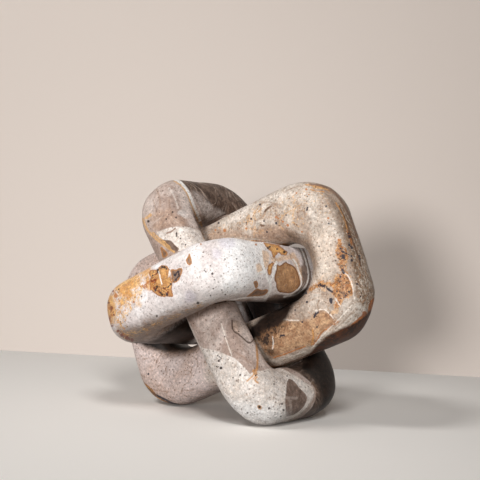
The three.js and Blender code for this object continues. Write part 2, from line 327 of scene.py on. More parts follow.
UPRIGHT_VEINS = {
    "cream vein": ("white", 1.1, [
        (175, 179.5), (180, 182), (184.5, 186.5), (188, 191.5), (191.3, 199), (194.5, 207),
        (197.7, 214.5), (200, 221),
    ]),
    "gold edge of the cream vein": ("gold", 0.5, [
        (174, 181), (179, 184), (183.3, 188.5), (186.7, 193.5), (189.7, 200.5), (192.8, 208.5),
        (196, 216), (199, 224),
    ]),
    "gold end of the cream vein": ("gold", 0.9, [
        (198.5, 216), (200.7, 223), (202.7, 230), (204.5, 238.5),
    ]),
    "halo of the black spot": ("ochre", 1.7, [(259.3, 407), (259.7, 407.6)]),
    "halo under the cream line": ("ochre", 1.8, [(254.5, 371.5), (255.2, 373)]),
    "quartz stroke": ("haze", 0.9, [(203, 330), (207, 335), (211, 343)]),
    "quartz stroke beside it": ("haze", 0.8, [(208, 331), (213, 338), (216, 344)]),
    "gold vein": ("gold", 0.9, [
        (142.5, 219), (146, 227), (150, 233), (157, 240), (163, 244.3), (168, 248), (174, 252),
    ]),
    "gold strand": ("gold", 0.5, [(153, 232.5), (158, 237), (164, 241.5), (170, 247)]),
    "gold spot": ("gold", 1.2, [(146.5, 218), (150.5, 214.8)]),
    "brown sliver": ("brown", 0.6, [(167, 233), (171, 231.6), (175, 228.6)]),
    "faint streak": ("faint_white", 0.7, [(169, 188), (173, 194), (176, 201), (178, 208)]),
    "brown streak": ("faint_brown", 0.8, [(157, 190), (159.5, 197), (160.5, 206)]),
    "second brown streak": ("faint_brown", 0.6, [(153, 200), (156, 209), (158, 217)]),
    "third brown streak": ("faint_brown", 0.6, [(169, 200), (170, 208), (172, 216)]),
    "white line": ("pale", 0.35, [(221, 322.5), (224, 333), (228, 345), (231.7, 356)]),
    "crack round the oval": ("crack", 0.5, [
        (232, 320.5), (233, 330), (238, 334), (243, 338), (249, 343), (252.5, 341), (254, 338),
    ]),
    "cream line": ("ochre", 0.8, [(256.3, 340), (257, 350), (257.5, 360), (257.2, 369)]),
    "gold streak": ("ochre", 0.6, [(254, 374), (251, 377.5), (247, 381)]),
    "gold hook": ("ochre", 0.6, [(257, 377), (255, 380), (258, 383)]),
    "brown line": ("faint_brown", 0.5, [(233, 350.5), (240, 355), (245.5, 359), (248, 363)]),
    "pale left edge": ("faint_white", 1.2, [(186.5, 319), (192, 331), (199, 347)]),
    "pale right edge": ("faint_white", 0.7, [(258, 345), (266, 355), (276, 366)]),
    "pale rim": ("faint_white", 1.1, [
        (300, 382.5), (307, 389), (309.5, 397), (307, 404.5), (301, 411.5), (292, 417.5), (282, 421),
    ]),
    "tan rim": ("faint_brown", 1.4, [
        (312.5, 384), (315.5, 391), (313, 400), (308, 408), (300, 415), (290, 420.5),
    ]),
    "pale streaks in the brown": ("haze", 1.1, [(286, 397.5), (290, 398), (297, 398)]),
    "pale column in the brown": ("haze", 1.1, [(289.5, 399), (290.5, 406), (291, 413)]),
}
UPRIGHT_SPOTS = {
    "dark spots": ("dark", [
        (221, 368, 1.15), (218.5, 361, 0.8), (216.5, 366.5, 0.6), (240, 375, 0.7), (259.5, 407, 1.1),
        (282, 404, 0.7), (283.5, 410, 0.8), (247.5, 413, 0.6), (269, 408.3, 0.8), (274, 384, 0.6),
        (287, 376, 0.6), (255.6, 375.6, 0.6), (280.7, 416.5, 0.6), (176.5, 233.5, 0.8), (176.4, 236, 0.6),
        (148.3, 221.3, 1.1), (166.2, 219, 0.7), (172.5, 212, 0.8), (176, 217.5, 0.8), (180.5, 238.5, 0.6),
        (185.5, 244.7, 0.6), (182, 244, 0.5), (233, 377.5, 0.5), (217.5, 355.5, 0.5), (221, 358, 0.5),
    ]),
}
LEANING_PATCHES = {
    "speckled rust upper right": ("speckle", [
        (338, 237), (342, 241), (347, 249), (350, 258), (347, 265), (350, 274), (353, 284), (354.5, 296),
        (350.5, 298), (344, 302), (340.5, 308), (335, 310), (331, 305.5), (335.5, 300), (331.5, 296),
        (331.5, 289), (327, 285.5), (322, 288), (316, 290), (307, 293.5), (304, 291), (311, 285),
        (316, 281.5), (322, 280), (331, 281), (335, 275), (339, 270.5), (336, 262), (334.5, 250),
    ]),
    "orange lower front": ("amber", [
        (250, 331), (258, 326), (272, 322.5), (284, 320), (296, 320.5), (306, 320), (313, 316.5),
        (318, 311.5), (326, 310.5), (333, 317), (338, 321.5), (333, 326.5), (322, 332), (317.5, 338),
        (313.5, 344.5), (305, 346.5), (293, 351), (284, 354.5), (272, 357.5), (262, 350), (255, 341),
    ]),
    "dark brown corner": ("dark_brown", [
        (250, 330), (258, 325), (267, 322), (276, 320), (279, 326), (273, 331), (270, 337), (269, 345),
        (263, 346), (257, 338),
    ]),
    "dark brown lower corner": ("dark_brown", [
        (266, 346), (273, 349), (277, 353), (270, 357), (262, 349),
    ]),
    "pale rim band": ("streaked", [
        (268, 359), (284, 355), (293, 351.5), (305, 347), (314, 345), (318, 338.5), (323, 332.5),
        (334, 327), (343, 316), (350, 307), (355, 298), (364, 300), (368, 308), (358, 320), (343, 328),
        (330, 336), (318, 346), (303, 360), (288, 368), (276, 368),
    ]),
    # Rust below the lower bar, darkened nearly to black with painted shade
    "rust in painted shade under the lower bar": ("deep_rust", [
        (303, 360), (311, 352), (316, 346), (322, 340.5), (329, 335), (336, 331), (343, 328),
        (352, 324.5), (360, 320), (367, 314), (372, 309), (376, 304), (384, 304), (384, 320), (372, 340),
        (345, 356), (315, 368),
    ]),
    "dust over the upper bar": ("dust", [
        (206, 226), (235, 211), (262, 199), (285, 190), (305, 183), (325, 184), (335, 195), (338, 215),
        (330, 226), (318, 222), (305, 232), (292, 232), (280, 226), (262, 226), (250, 236), (225, 238),
        (208, 240),
    ]),
    # Real speckle on the right side, its colours darkened as painted shade
    "peppered right side darkened as painted shade": ("pepper", [
        (337, 203), (345, 205), (355, 222), (363, 245), (370, 270), (377, 294), (376, 308), (366, 310),
        (357, 305), (354, 290), (352, 274), (349, 258), (345, 244), (339, 226),
    ]),
    # Painted shade: near black below the level link, over the near end
    "painted shade in the hollow under the level link": ("deep", [
        (138, 343), (150, 348), (165, 352), (180, 352), (194, 348), (203, 340), (204, 330), (196, 326),
        (160, 330), (134, 336),
    ]),
    "ink at the lower corner": ("ink_dust", [
        (251, 331), (259, 325), (268, 321), (280, 320), (290, 323), (287, 330), (278, 336), (276, 345),
        (270, 350), (260, 344),
    ]),
    # Painted shade: near black on the inner edge beside the level link's end, over stone that is dark
    # brown there
    "painted shade on the dark inner edge": ("deep", [
        (246, 334), (252, 326), (262, 316), (274, 306), (286, 297), (298, 289), (302, 295), (294, 305),
        (289, 315), (284, 322), (276, 327), (266, 330), (258, 337), (250, 342),
    ]),
    "rust band at the right": ("rust", [
        (351, 325), (356, 320.5), (361, 316), (364, 318), (359, 324), (353, 328),
    ]),
    "rust spot at the right": ("rust", [
        (362.5, 312), (366, 311.5), (367.3, 316), (364.5, 321), (362, 318),
    ]),
    "rust edge": ("rust", [
        (369, 304), (372, 299), (376, 298), (379, 308), (376, 320), (371, 323), (368, 318),
    ]),
    "brown under the upper bar": ("faint_brown", [
        (252, 240), (257, 231), (266, 227), (277, 226), (286, 227.5), (293, 233), (298, 240), (275, 242),
    ]),
    "brown lower edge": ("faint_brown", [
        (209, 240), (212, 232), (222, 230), (233, 231), (244, 233), (250, 240),
    ]),
    "smooth cream": ("haze", [
        (314, 236), (322, 232), (331, 228), (336, 236), (334, 250), (335, 263), (332, 274), (322, 279),
        (313, 280), (311, 268), (312, 250),
    ]),
    # Painted shade on the right side, over grey-brown stone
    "grey side in painted shade": ("shade", [
        (322, 190), (331, 189), (340, 197), (349, 210), (357, 228), (363, 250), (370, 275), (376, 300),
        (382, 290), (374, 240), (352, 190), (330, 178), (318, 183), (330, 200), (338, 215), (341, 230),
        (347, 246), (352, 262), (356, 278), (359, 292), (364, 296), (360, 272), (352, 240), (345, 222),
        (337, 205),
    ]),
    "gold rim of the lower corner": ("ochre", [
        (137, 376), (141.5, 380), (146, 384), (151.5, 388.5), (157, 395), (163, 399.5), (170, 402.7),
        (179, 405), (172, 409), (158, 406), (147, 397), (139, 386),
    ]),
    # Painted shadow where the rim of the hole meets the level link
    "painted shadow on the rim of the hole": ("shade", [
        (286, 232), (300, 235), (309, 240), (315, 250), (318, 262), (315, 274), (311, 262), (307, 252),
        (301, 246), (290, 241),
    ]),
    # Brown stone of the near end, darkened with painted shade where the level link hangs over it
    "brown in painted shade under the level link": ("under", [
        (128, 334), (136, 343), (150, 347), (160, 353), (172, 357), (184, 356), (200, 350), (196, 338),
        (160, 330),
    ]),
}
LEANING_VEINS = {
    "cream vein": ("pale", 0.45, [(342.5, 271), (348, 276), (351.5, 283), (353, 290), (354.5, 300)]),
    "cream vein below": ("pale", 0.45, [(335.5, 298), (337.5, 302), (340.3, 306)]),
    "cream vein in the orange": ("pale", 0.45, [(316, 310), (324, 309.5), (329, 313), (333, 318)]),
    "cream line at the left": ("pale", 0.45, [(272.5, 336), (273.3, 343), (272.5, 349)]),
    "cream step": ("pale", 0.45, [(284, 319.5), (292, 320.3), (299, 320.3)]),
    "gold scratch": ("ochre", 0.6, [(312.5, 330), (313.5, 337), (311.5, 345)]),
    "pale streak of the rim": ("pale", 0.45, [
        (352, 305), (341, 317), (329, 329), (319, 339.5), (311, 349),
    ]),
    "brown streak of the rim": ("faint_brown", 0.5, [(356, 308), (345, 320), (332, 332), (321, 342)]),
    "pale lower streak of the rim": ("pale", 0.4, [(306, 351), (295, 355), (282, 359)]),
    "brown lower streak of the rim": ("brown", 0.5, [(308, 355), (296, 360), (284, 364.5)]),
    "rust line along the orange": ("rust", 0.5, [
        (338, 321), (330, 327), (322, 332), (317.5, 339), (313.5, 345),
    ]),
    "rust line below the orange": ("rust", 0.5, [(305, 346.5), (293, 351), (284, 354.5), (274, 357.5)]),
    "gold arc at the top": ("ochre", 0.5, [(306, 184.5), (315, 186), (323, 188), (329, 191)]),
    "second gold arc at the top": ("ochre", 0.45, [(311, 189.5), (317, 191), (324, 191.5)]),
    "third gold arc at the top": ("gold", 0.5, [(313, 187), (320, 188.5), (328, 189)]),
    "gold arc of the upper bar": ("faint_gold", 0.45, [(262, 203), (257, 209), (253, 217), (252, 226)]),
    "gold sweep of the upper bar": ("faint_gold", 0.6, [
        (300, 205), (292, 210), (284, 215), (279, 223), (283, 229),
    ]),
    "gold stroke by the dark side": ("ochre", 0.6, [(336, 203), (341, 211), (345, 220), (347, 228)]),
    "rust stroke by the dark side": ("rust", 0.6, [(347, 231), (350, 238), (352, 245)]),
    "brown stroke": ("dark_brown", 0.7, [(264.5, 212.5), (266.5, 209.5), (271, 206.5)]),
    "brown arc": ("faint_brown", 0.9, [(252, 234), (253, 226), (258, 219), (265, 214)]),
    "brown arc beyond": ("faint_brown", 0.7, [(255, 208), (260, 204), (268, 202), (275, 204)]),
    "brown top edge": ("faint_brown", 0.7, [(284, 193), (290, 189), (298, 186)]),
    "ring mark": ("faint_brown", 0.5, [
        (298, 212), (301.5, 210.5), (304.5, 213), (305, 217), (302, 219.5), (298.5, 218), (297.5, 214.5),
    ]),
    "gold arc": ("faint_gold", 0.7, [(295, 208), (293.3, 212), (293.2, 216)]),
    "gold arc below": ("faint_gold", 0.5, [(293, 222), (296, 225), (299, 227)]),
    "gold stroke": ("faint_gold", 0.6, [(295.5, 199.5), (293.5, 203)]),
    "top band": ("brown", 0.9, [
        (310, 184), (320, 185.5), (329, 188.5), (335, 193), (340, 199), (345, 207), (350, 217),
        (354, 227), (357, 238),
    ]),
    "top band below": ("faint_brown", 1.0, [(315, 190), (322, 190), (328, 191)]),
    "second band": ("dark_brown", 0.6, [
        (339, 206), (343, 214), (347, 224), (351, 236), (356, 250), (361, 266),
    ]),
    "blue streak at the lower corner": ("ink", 0.9, [
        (157, 395.3), (162, 398), (167, 400.5), (172, 403), (178.5, 405),
    ]),
    "brown streak at the lower corner": ("dark_brown", 0.7, [
        (144, 386), (148, 388.7), (152, 392), (156, 396),
    ]),
    "brown hook": ("faint_brown", 0.6, [
        (184, 370), (190, 371.5), (191.5, 375), (188, 382), (184, 385), (181.5, 391),
    ]),
    "ink stroke": ("ink", 0.9, [(314.3, 317), (315.7, 313.5), (318, 312.3)]),
    "ink stroke above": ("ink", 0.8, [(327.5, 288.5), (330, 290.5), (332, 292)]),
    "ink mark": ("ink", 0.8, [(318.5, 285.7), (320.5, 284.8)]),
    "ink mark beside it": ("ink", 0.8, [(322.5, 286.5), (325, 285.5)]),
    "ink stroke at the left": ("ink", 0.8, [(281, 335.7), (284, 335.3)]),
    "brown crescent": ("dark_brown", 0.9, [(261, 225), (263.5, 226)]),
}
LEANING_SPOTS = {
    "ink spots": ("ink", [
        (331, 300, 1.5), (331.3, 302.5, 0.9), (343.5, 257.3, 1.3), (342.3, 269.8, 1.0),
        (343.8, 272.8, 1.0), (340.3, 248.5, 0.9), (349.8, 237, 1.0), (348.5, 233.5, 0.8), (349, 245, 0.7),
        (352, 248, 0.8), (351.5, 256, 0.8), (351.8, 260.5, 0.9), (276.2, 223.3, 1.0), (264, 221, 0.7),
        (218.7, 223, 0.9), (307, 209.8, 0.8), (307.5, 207.5, 0.6), (328.6, 223.3, 0.7), (326, 206.3, 0.6),
        (319, 246.3, 0.6), (295, 310.3, 0.6), (307, 302, 0.9), (306, 293, 0.9), (340.5, 276.5, 0.7),
        (349, 292, 0.8), (346, 295.5, 0.7), (337, 291.5, 0.6), (139.7, 260, 1.1), (148.4, 374, 0.9),
        (360.5, 296.5, 0.6), (343, 252, 0.8), (346.3, 253.5, 0.7), (359.5, 256, 0.8), (360, 259, 0.6),
        (251.2, 219, 0.8), (246.5, 223, 0.6), (260, 204.7, 0.8), (286, 215, 0.6), (357, 284, 0.8),
        (267, 232, 0.8), (302.3, 322, 0.8), (317, 327, 0.7),
    ]),
    "rust spots": ("rust", [
        (287.7, 225.2, 1.2), (306.3, 189.3, 0.9), (328.3, 218.2, 0.9), (338.5, 240, 1.0),
        (302, 231.7, 0.7), (296.5, 193, 0.7), (276, 217, 0.7), (278.5, 218.5, 0.6), (283, 221.7, 0.9),
        (309, 194.5, 0.6), (224.8, 230.3, 1.3), (215.5, 230, 0.8), (246.3, 228.5, 0.8),
    ]),
}


def smoothed(points, closed, steps=4):
    """A line drawn smoothly through its points, closed on itself or open."""
    points = np.array(points, float)
    count = len(points)
    if closed:
        order = np.arange(-1, count + 2) % count
        spans = count
    else:
        order = np.clip(np.arange(-1, count + 1), 0, count - 1)
        spans = count - 1
    along = np.linspace(0, 1, steps, endpoint=False)[:, None]
    line = []
    for span in range(spans):
        before, start, end, after = points[order[span:span + 4]]
        slope = (end - before) / 2
        next_slope = (after - start) / 2
        line.append(
            start * (2 * along ** 3 - 3 * along ** 2 + 1)
            + slope * (along ** 3 - 2 * along ** 2 + along)
            + end * (3 * along ** 2 - 2 * along ** 3)
            + next_slope * (along ** 3 - along ** 2)
        )
    if not closed:
        line.append(points[-1:])
    return np.concatenate(line)


def nearest_on_line(places, line, closed):
    """For each place on the picture, the step from it to the nearest point of a line."""
    ends = np.roll(line, -1, axis=0) if closed else line[1:]
    starts = line if closed else line[:-1]
    best = np.full(len(places), np.inf)
    step = np.zeros((len(places), 2))
    for start, end in zip(starts, ends):
        run = end - start
        share = np.clip(((places - start) @ run) / max(run @ run, 1e-12), 0, 1)
        reach = start + share[:, None] * run - places
        length = np.hypot(reach[:, 0], reach[:, 1])
        nearer = length < best
        best[nearer] = length[nearer]
        step[nearer] = reach[nearer]
    return step


def within(places, line):
    """Which places on the picture lie inside a closed line."""
    inside = np.zeros(len(places), bool)
    for start, end in zip(line, np.roll(line, -1, axis=0)):
        spans = (start[1] > places[:, 1]) != (end[1] > places[:, 1])
        if start[1] != end[1]:
            share = (places[:, 1] - start[1]) / (end[1] - start[1])
            inside ^= spans & (places[:, 0] < start[0] + share * (end[0] - start[0]))
    return inside


class Socket:
    """An output of a node. Arithmetic on it, with numbers or other sockets, adds Math nodes."""

    def __init__(self, graph, node, output=0):
        self.graph = graph
        self.node = node
        self.output = node.outputs[output] if node.outputs else None

    def named(self, output):
        return Socket(self.graph, self.node, output)

    def __add__(self, other):
        return self.graph.math("ADD", self, other)

    def __radd__(self, other):
        return self.graph.math("ADD", other, self)

    def __sub__(self, other):
        return self.graph.math("SUBTRACT", self, other)

    def __rsub__(self, other):
        return self.graph.math("SUBTRACT", other, self)

    def __mul__(self, other):
        return self.graph.math("MULTIPLY", self, other)

    def __rmul__(self, other):
        return self.graph.math("MULTIPLY", other, self)

    def __truediv__(self, other):
        return self.graph.math("DIVIDE", self, other)

    def __rtruediv__(self, other):
        return self.graph.math("DIVIDE", other, self)

    def __pow__(self, other):
        return self.graph.math("POWER", self, other)

    def __neg__(self):
        return self.graph.math("MULTIPLY", self, -1.0)

    def __abs__(self):
        return self.graph.math("ABSOLUTE", self)


class Graph:
    """A node tree that is written as expressions."""

    def __init__(self, tree):
        self.tree = tree

    def node(self, kind, settings=None, inputs=None, output=0):
        """Adds a node: its settings first, then the values or links of its sockets."""
        made = self.tree.nodes.new(kind)
        for name, value in (settings or {}).items():
            setattr(made, name, value)
        for name, value in (inputs or {}).items():
            if isinstance(value, Socket):
                self.tree.links.new(value.output, made.inputs[name])
            else:
                made.inputs[name].default_value = value
        return Socket(self, made, output)

    def math(self, operation, *values):
        return self.node("ShaderNodeMath", {"operation": operation}, dict(enumerate(values)))

    def vector(self, operation, *values, output=0):
        inputs = dict(enumerate(values))
        return self.node("ShaderNodeVectorMath", {"operation": operation}, inputs, output)

    def scaled(self, vector, factor):
        return self.node("ShaderNodeVectorMath", {"operation": "SCALE"}, {0: vector, "Scale": factor})

    def clamp(self, value):
        return self.node("ShaderNodeClamp", None, {"Value": value})

    def smooth(self, value, low, high, start=0.0, end=1.0):
        """Runs smoothly from start to end as the value goes from low to high."""
        limits = {"Value": value, "From Min": low, "From Max": high, "To Min": start, "To Max": end}
        return self.node("ShaderNodeMapRange", {"interpolation_type": "SMOOTHSTEP"}, limits)

    def noise(self, vector, scale, detail, roughness):
        """A noise of 0 to 1. Its scale is in waves for each unit, and its detail adds finer waves."""
        inputs = {"Vector": vector, "Scale": scale, "Detail": detail, "Roughness": roughness}
        return self.node("ShaderNodeTexNoise", None, inputs)

    def drift(self, vector, scale, detail, roughness):
        """A noise of three parts, each from -0.5 to 0.5."""
        swing = self.noise(vector, scale, detail, roughness).named("Color")
        return self.vector("SUBTRACT", swing, (0.5, 0.5, 0.5))

    def cells(self, vector, scale):
        """Cells at random places: the distance to the nearest middle, and random numbers for its cell."""
        made = self.node("ShaderNodeTexVoronoi", {"feature": "F1"}, {"Vector": vector, "Scale": scale})
        pick = self.node("ShaderNodeSeparateColor", None, {0: made.named("Color")})
        return made.named("Distance"), pick

    def mix(self, factor, first, second, blend="MIX"):
        """Two colours mixed: a factor of 0 leaves the first and 1 the second."""
        settings = {"data_type": "RGBA", "blend_type": blend}
        return self.node("ShaderNodeMix", settings, {0: factor, 6: first, 7: second}, 2)

    def attribute(self, name, output="Fac"):
        """What a mesh attribute says at each place."""
        settings = {"attribute_name": name, "attribute_type": "GEOMETRY"}
        return self.node("ShaderNodeAttribute", settings, None, output)


def new_material(name):
    """An empty material and the graph of its nodes."""
    material = bpy.data.materials.new(name)
    material.use_nodes = True
    material.node_tree.nodes.clear()
    return material, Graph(material.node_tree)


# The inputs of a link's node tree, each with what it is
LINK_INPUTS = {
    "Length": "Outside length of the link",
    "Width": "Outside width of the link",
    "Depth": "From one flat side to the other",
    "Thickness": "Thickness of the long bars, seen on the flat side",
    "End Thickness": "Thickness of the end bars, seen on the flat side",
    "Outer Radius": "Radius of the corners outside",
    "Hole Radius": "Radius of the corners of the hole",
    "Hole Shift": "How far the hole lies off the middle, towards the upper end",
    "Section Power": "2 makes a bar round, and more makes it squarer",
    "Skin": "How far the finished stone lies inside the rough size",
    "Unevenness": "Depth of the hollows that the hand leaves in the stone",
    "Hollow Size": "Distance from one hollow to the next",
    "Seed": "Picks another set of hollows",
}

# How many ripples lie in a hollow, and how deep they are beside it
RIPPLES_IN_HOLLOW = 4
RIPPLE_DEPTH = 0.22


def link_tree():
    """A node tree that sweeps a rounded section round a rounded rectangle and wears its surface."""
    tree = bpy.data.node_groups.new("Link Shape", "GeometryNodeTree")
    for name, description in LINK_INPUTS.items():
        made = tree.interface.new_socket(name=name, in_out="INPUT", socket_type="NodeSocketFloat")
        made.description = description
    tree.interface.new_socket(name="Stone", in_out="INPUT", socket_type="NodeSocketMaterial")
    tree.interface.new_socket(name="Link", in_out="OUTPUT", socket_type="NodeSocketGeometry")
    graph = Graph(tree)
    given = graph.node("NodeGroupInput", None, None, "Length")
    length, width, depth, side, end = (
        given.named(name) / 2 for name in ("Length", "Width", "Depth", "Thickness", "End Thickness")
    )
    outer_radius = given.named("Outer Radius")
    hole_radius = given.named("Hole Radius")
    steps = {"Vertices X": OUTLINE_STEPS + 1, "Vertices Y": SECTION_STEPS + 1}
    grid = graph.node("GeometryNodeMeshGrid", None, {"Size X": 1.0, "Size Y": 1.0, **steps})
    where = graph.node("ShaderNodeSeparateXYZ", None, {0: graph.node("GeometryNodeInputPosition")})
    around = where.named("X") + 0.5
    section = (where.named("Y") + 0.5) * math.tau

    # Each quarter of the outline is half an end, a corner and half a side, and every other one runs back
    quarter = graph.math("FLOOR", around * 4)
    passed = around * 4 - quarter
    backward = graph.math("MODULO", quarter, 2.0)
    part = passed * (1 - backward) + (1 - passed) * backward
    middle = (quarter + 0.5) * (math.pi / 2)
    sign_x = graph.math("SIGN", graph.math("COSINE", middle))
    sign_y = graph.math("SIGN", graph.math("SINE", middle))
    mean_radius = (outer_radius + hole_radius) / 2
    half_end = width - side - mean_radius
    corner = mean_radius * (math.pi / 2)
    half_side = length - end - mean_radius
    whole = half_end + corner + half_side
    first = half_end / whole
    second = (half_end + corner) / whole
    rise = graph.clamp(part / first)
    turn = graph.clamp((part - first) / (second - first)) * (math.pi / 2)
    back = graph.clamp((part - second) / (1 - second))

    def outline(half_length, half_width, radius):
        x = (half_length - radius) * (1 - back) + radius * graph.math("COSINE", turn)
        y = (half_width - radius) * rise + radius * graph.math("SINE", turn)
        return x * sign_x, y * sign_y

    outer_x, outer_y = outline(length, width, outer_radius)
    inner_x, inner_y = outline(length - end * 2, width - side * 2, hole_radius)
    inner_x = inner_x + given.named("Hole Shift")
    power = 2 / given.named("Section Power")

    def squared(value):
        return graph.math("SIGN", value) * abs(value) ** power

    across = squared(graph.math("COSINE", section))
    up = squared(graph.math("SINE", section))
    x = (outer_x + inner_x) / 2 + (outer_x - inner_x) / 2 * across
    y = (outer_y + inner_y) / 2 + (outer_y - inner_y) / 2 * across
    bent = graph.node("ShaderNodeCombineXYZ", None, {"X": x, "Y": y, "Z": up * depth})
    swept = graph.node("GeometryNodeSetPosition", None, {"Geometry": grid, "Position": bent})
    closed = graph.node("GeometryNodeMergeByDistance", None, {"Geometry": swept, "Distance": SEAM_GAP})

    # Wear: broad hollows and a finer ripple, always inwards from the rough size
    seed = given.named("Seed")
    here = graph.node("GeometryNodeInputPosition")
    broad = 1 / given.named("Hollow Size")
    fine = broad * RIPPLES_IN_HOLLOW
    broad_noise = {"Vector": here, "W": seed, "Scale": broad, "Detail": 2.0, "Roughness": 0.4}
    ripple_noise = {"Vector": here, "W": seed + 5, "Scale": fine, "Detail": 2.0, "Roughness": 0.5}
    hollows = graph.node("ShaderNodeTexNoise", {"noise_dimensions": "4D"}, broad_noise)
    ripples = graph.node("ShaderNodeTexNoise", {"noise_dimensions": "4D"}, ripple_noise)
    worn = graph.smooth(hollows, 0.35, 0.75) + (ripples - 0.35) * RIPPLE_DEPTH
    inward = graph.clamp(worn) * given.named("Unevenness") + given.named("Skin")
    normal = graph.node("GeometryNodeInputNormal")
    inset = graph.scaled(normal, -inward)
    shaped = graph.node("GeometryNodeSetPosition", None, {"Geometry": closed, "Offset": inset})
    rounded = graph.node("GeometryNodeSetShadeSmooth", None, {"Geometry": shaped, "Shade Smooth": True})
    real = graph.node("GeometryNodeRealizeInstances", None, {"Geometry": rounded})
    stone = given.named("Stone")
    painted = graph.node("GeometryNodeSetMaterial", None, {"Geometry": real, "Material": stone})
    graph.node("NodeGroupOutput", None, {"Link": painted})
    return tree


# Which way a link's first two axes run: up, and up with a lean towards the camera
AXES_TOWARDS = ((0, 0, 1), (0, -0.3, 1))


def link_axes(node):
    """The middle, the axes as columns and the outside size of a link, measured on its rough solid."""
    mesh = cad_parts[node].data
    corners = np.array([corner.co for corner in mesh.vertices], float)
    mesh.calc_loop_triangles()
    triangles = corners[np.array([triangle.vertices for triangle in mesh.loop_triangles])]
    a, b, c = triangles[:, 0], triangles[:, 1], triangles[:, 2]
    volumes = np.einsum("ij,ij->i", a, np.cross(b, c)) / 6
    volume = volumes.sum()
    centre = (volumes[:, None] * (a + b + c)).sum(0) / (4 * volume)
    a, b, c = a - centre, b - centre, c - centre
    total = a + b + c
    spread = sum(np.einsum("i,ij,ik->jk", volumes, part, part) for part in (a, b, c, total)) / 20
    axes = np.linalg.eigh(spread)[1][:, ::-1]
    for column, towards in enumerate(AXES_TOWARDS):
        if axes[:, column] @ np.array(towards) < 0:
            axes[:, column] *= -1
    axes[:, 2] = np.cross(axes[:, 0], axes[:, 1])
    reach = corners @ axes
    low, high = reach.min(0), reach.max(0)
    return axes @ ((low + high) / 2), axes, high - low


def photo_camera():
    """Where the photo was taken from: a point in metres, and the right, up and back directions."""
    stage = bpy.context.scene.knot_stage
    middle = Vector(link_axes("leaning_link")[0])
    tilt = Matrix.Rotation(stage.roll, 3, "Z")
    down = Matrix.Rotation(math.pi / 2 - stage.elevation, 3, "X")
    turned = Matrix.Rotation(stage.azimuth, 3, "Z") @ down @ tilt
    right, up, back = turned.col
    pixel = stage.distance / photo_focus(stage)
    across = (stage.middle_x - PHOTO_MIDDLE) * pixel
    above = (PHOTO_MIDDLE - stage.middle_y) * pixel
    return middle - right * across - up * above + back * stage.distance, turned


def photo_focus(stage):
    """The lens's length, in pixels of the photo."""
    return stage.lens / SENSOR_WIDTH * PHOTO_SIZE


def on_picture(places):
    """Where places, in metres, show on the photo, in its pixels."""
    point, turned = photo_camera()
    seen = (places - np.array(point)) @ np.array(turned)
    focus = photo_focus(bpy.context.scene.knot_stage)
    across = PHOTO_MIDDLE - focus * seen[:, 0] / seen[:, 2]
    down = PHOTO_MIDDLE + focus * seen[:, 1] / seen[:, 2]
    return np.column_stack((across, down))


def tree_of(meshes):
    """What rays are tested against: every triangle of the given meshes."""
    corners = []
    faces = []
    for mesh in meshes:
        mesh.calc_loop_triangles()
        start = len(corners)
        corners += [tuple(corner.co) for corner in mesh.vertices]
        faces += [[start + index for index in triangle.vertices] for triangle in mesh.loop_triangles]
    return BVHTree.FromPolygons(corners, faces, all_triangles=True)


def spread_along_edges(mesh, values, rounds=12):
    """Evens a value out between neighbouring vertices."""
    edges = np.array([edge.vertices for edge in mesh.edges])
    count = np.bincount(edges.ravel(), minlength=len(values)) + 1
    for _ in range(rounds):
        total = values + np.bincount(edges[:, 0], values[edges[:, 1]], len(values))
        total += np.bincount(edges[:, 1], values[edges[:, 0]], len(values))
        values = total / count
    return values


def keep_attribute(mesh, name, values, kind="FLOAT"):
    """Writes a value for each vertex."""
    field = {"FLOAT": "value", "FLOAT_VECTOR": "vector", "FLOAT_COLOR": "color"}[kind]
    made = mesh.attributes.new(name, kind, "POINT")
    made.data.foreach_set(field, np.ascontiguousarray(values, np.float32).ravel())


class Picture:
    """The vertices of one link as the photo shows them."""

    def __init__(self, mesh):
        self.places = np.array([corner.co for corner in mesh.vertices], float)
        self.pixels = on_picture(self.places)
        point = np.array(photo_camera()[0])
        to_camera = point - self.places
        distance = np.linalg.norm(to_camera, axis=1)
        self.metres = distance / photo_focus(bpy.context.scene.knot_stage)
        to_camera /= distance[:, None]
        normals = np.array([corner.vector for corner in mesh.vertex_normals], float)
        self.facing = np.einsum("ij,ij->i", normals, to_camera)
        own = tree_of([mesh])
        knot = tree_of([node.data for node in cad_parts.values()])
        self.open = np.zeros(len(self.places), bool)
        self.seen = np.zeros(len(self.places))
        for index in np.flatnonzero(self.facing > TURNED_AWAY):
            start = Vector(self.places[index])
            ray = Vector(to_camera[index])
            self.open[index] = own.ray_cast(start + ray * BAR_THROUGH, ray)[0] is None
            if self.facing[index] > TURNED_TOWARDS:
                lifted = start + Vector(normals[index]) * LIFT
                self.seen[index] = knot.ray_cast(lifted, ray)[0] is None
        self.seen = spread_along_edges(mesh, self.seen)

    def near(self, line, reach):
        """The vertices that a mark may lie on: in front, and near its outline on the picture."""
        low, high = line.min(0) - reach, line.max(0) + reach
        inside = ((self.pixels > low) & (self.pixels < high)).all(1)
        return np.flatnonzero(inside & self.open)


def lay_patches(mesh, picture, patches):
    """For each kind of patch, how far inside its nearest outline each vertex lies, in millimetres."""
    kinds = {}
    for kind, points in patches.values():
        line = smoothed(points, True)
        depth = kinds.setdefault(kind, np.full(len(picture.places), -MARK_REACH))
        chosen = picture.near(line, MARK_REACH)
        pixels = picture.pixels[chosen]
        step = nearest_on_line(pixels, line, True)
        distance = np.hypot(step[:, 0], step[:, 1]) * picture.metres[chosen] / MM
        distance[~within(pixels, line)] *= -1
        distance -= BACK_FADE * np.maximum(0, -picture.facing[chosen])
        depth[chosen] = np.maximum(depth[chosen], distance)
    for kind, depth in kinds.items():
        keep_attribute(mesh, kind, np.clip(depth, -MARK_REACH, MARK_REACH))


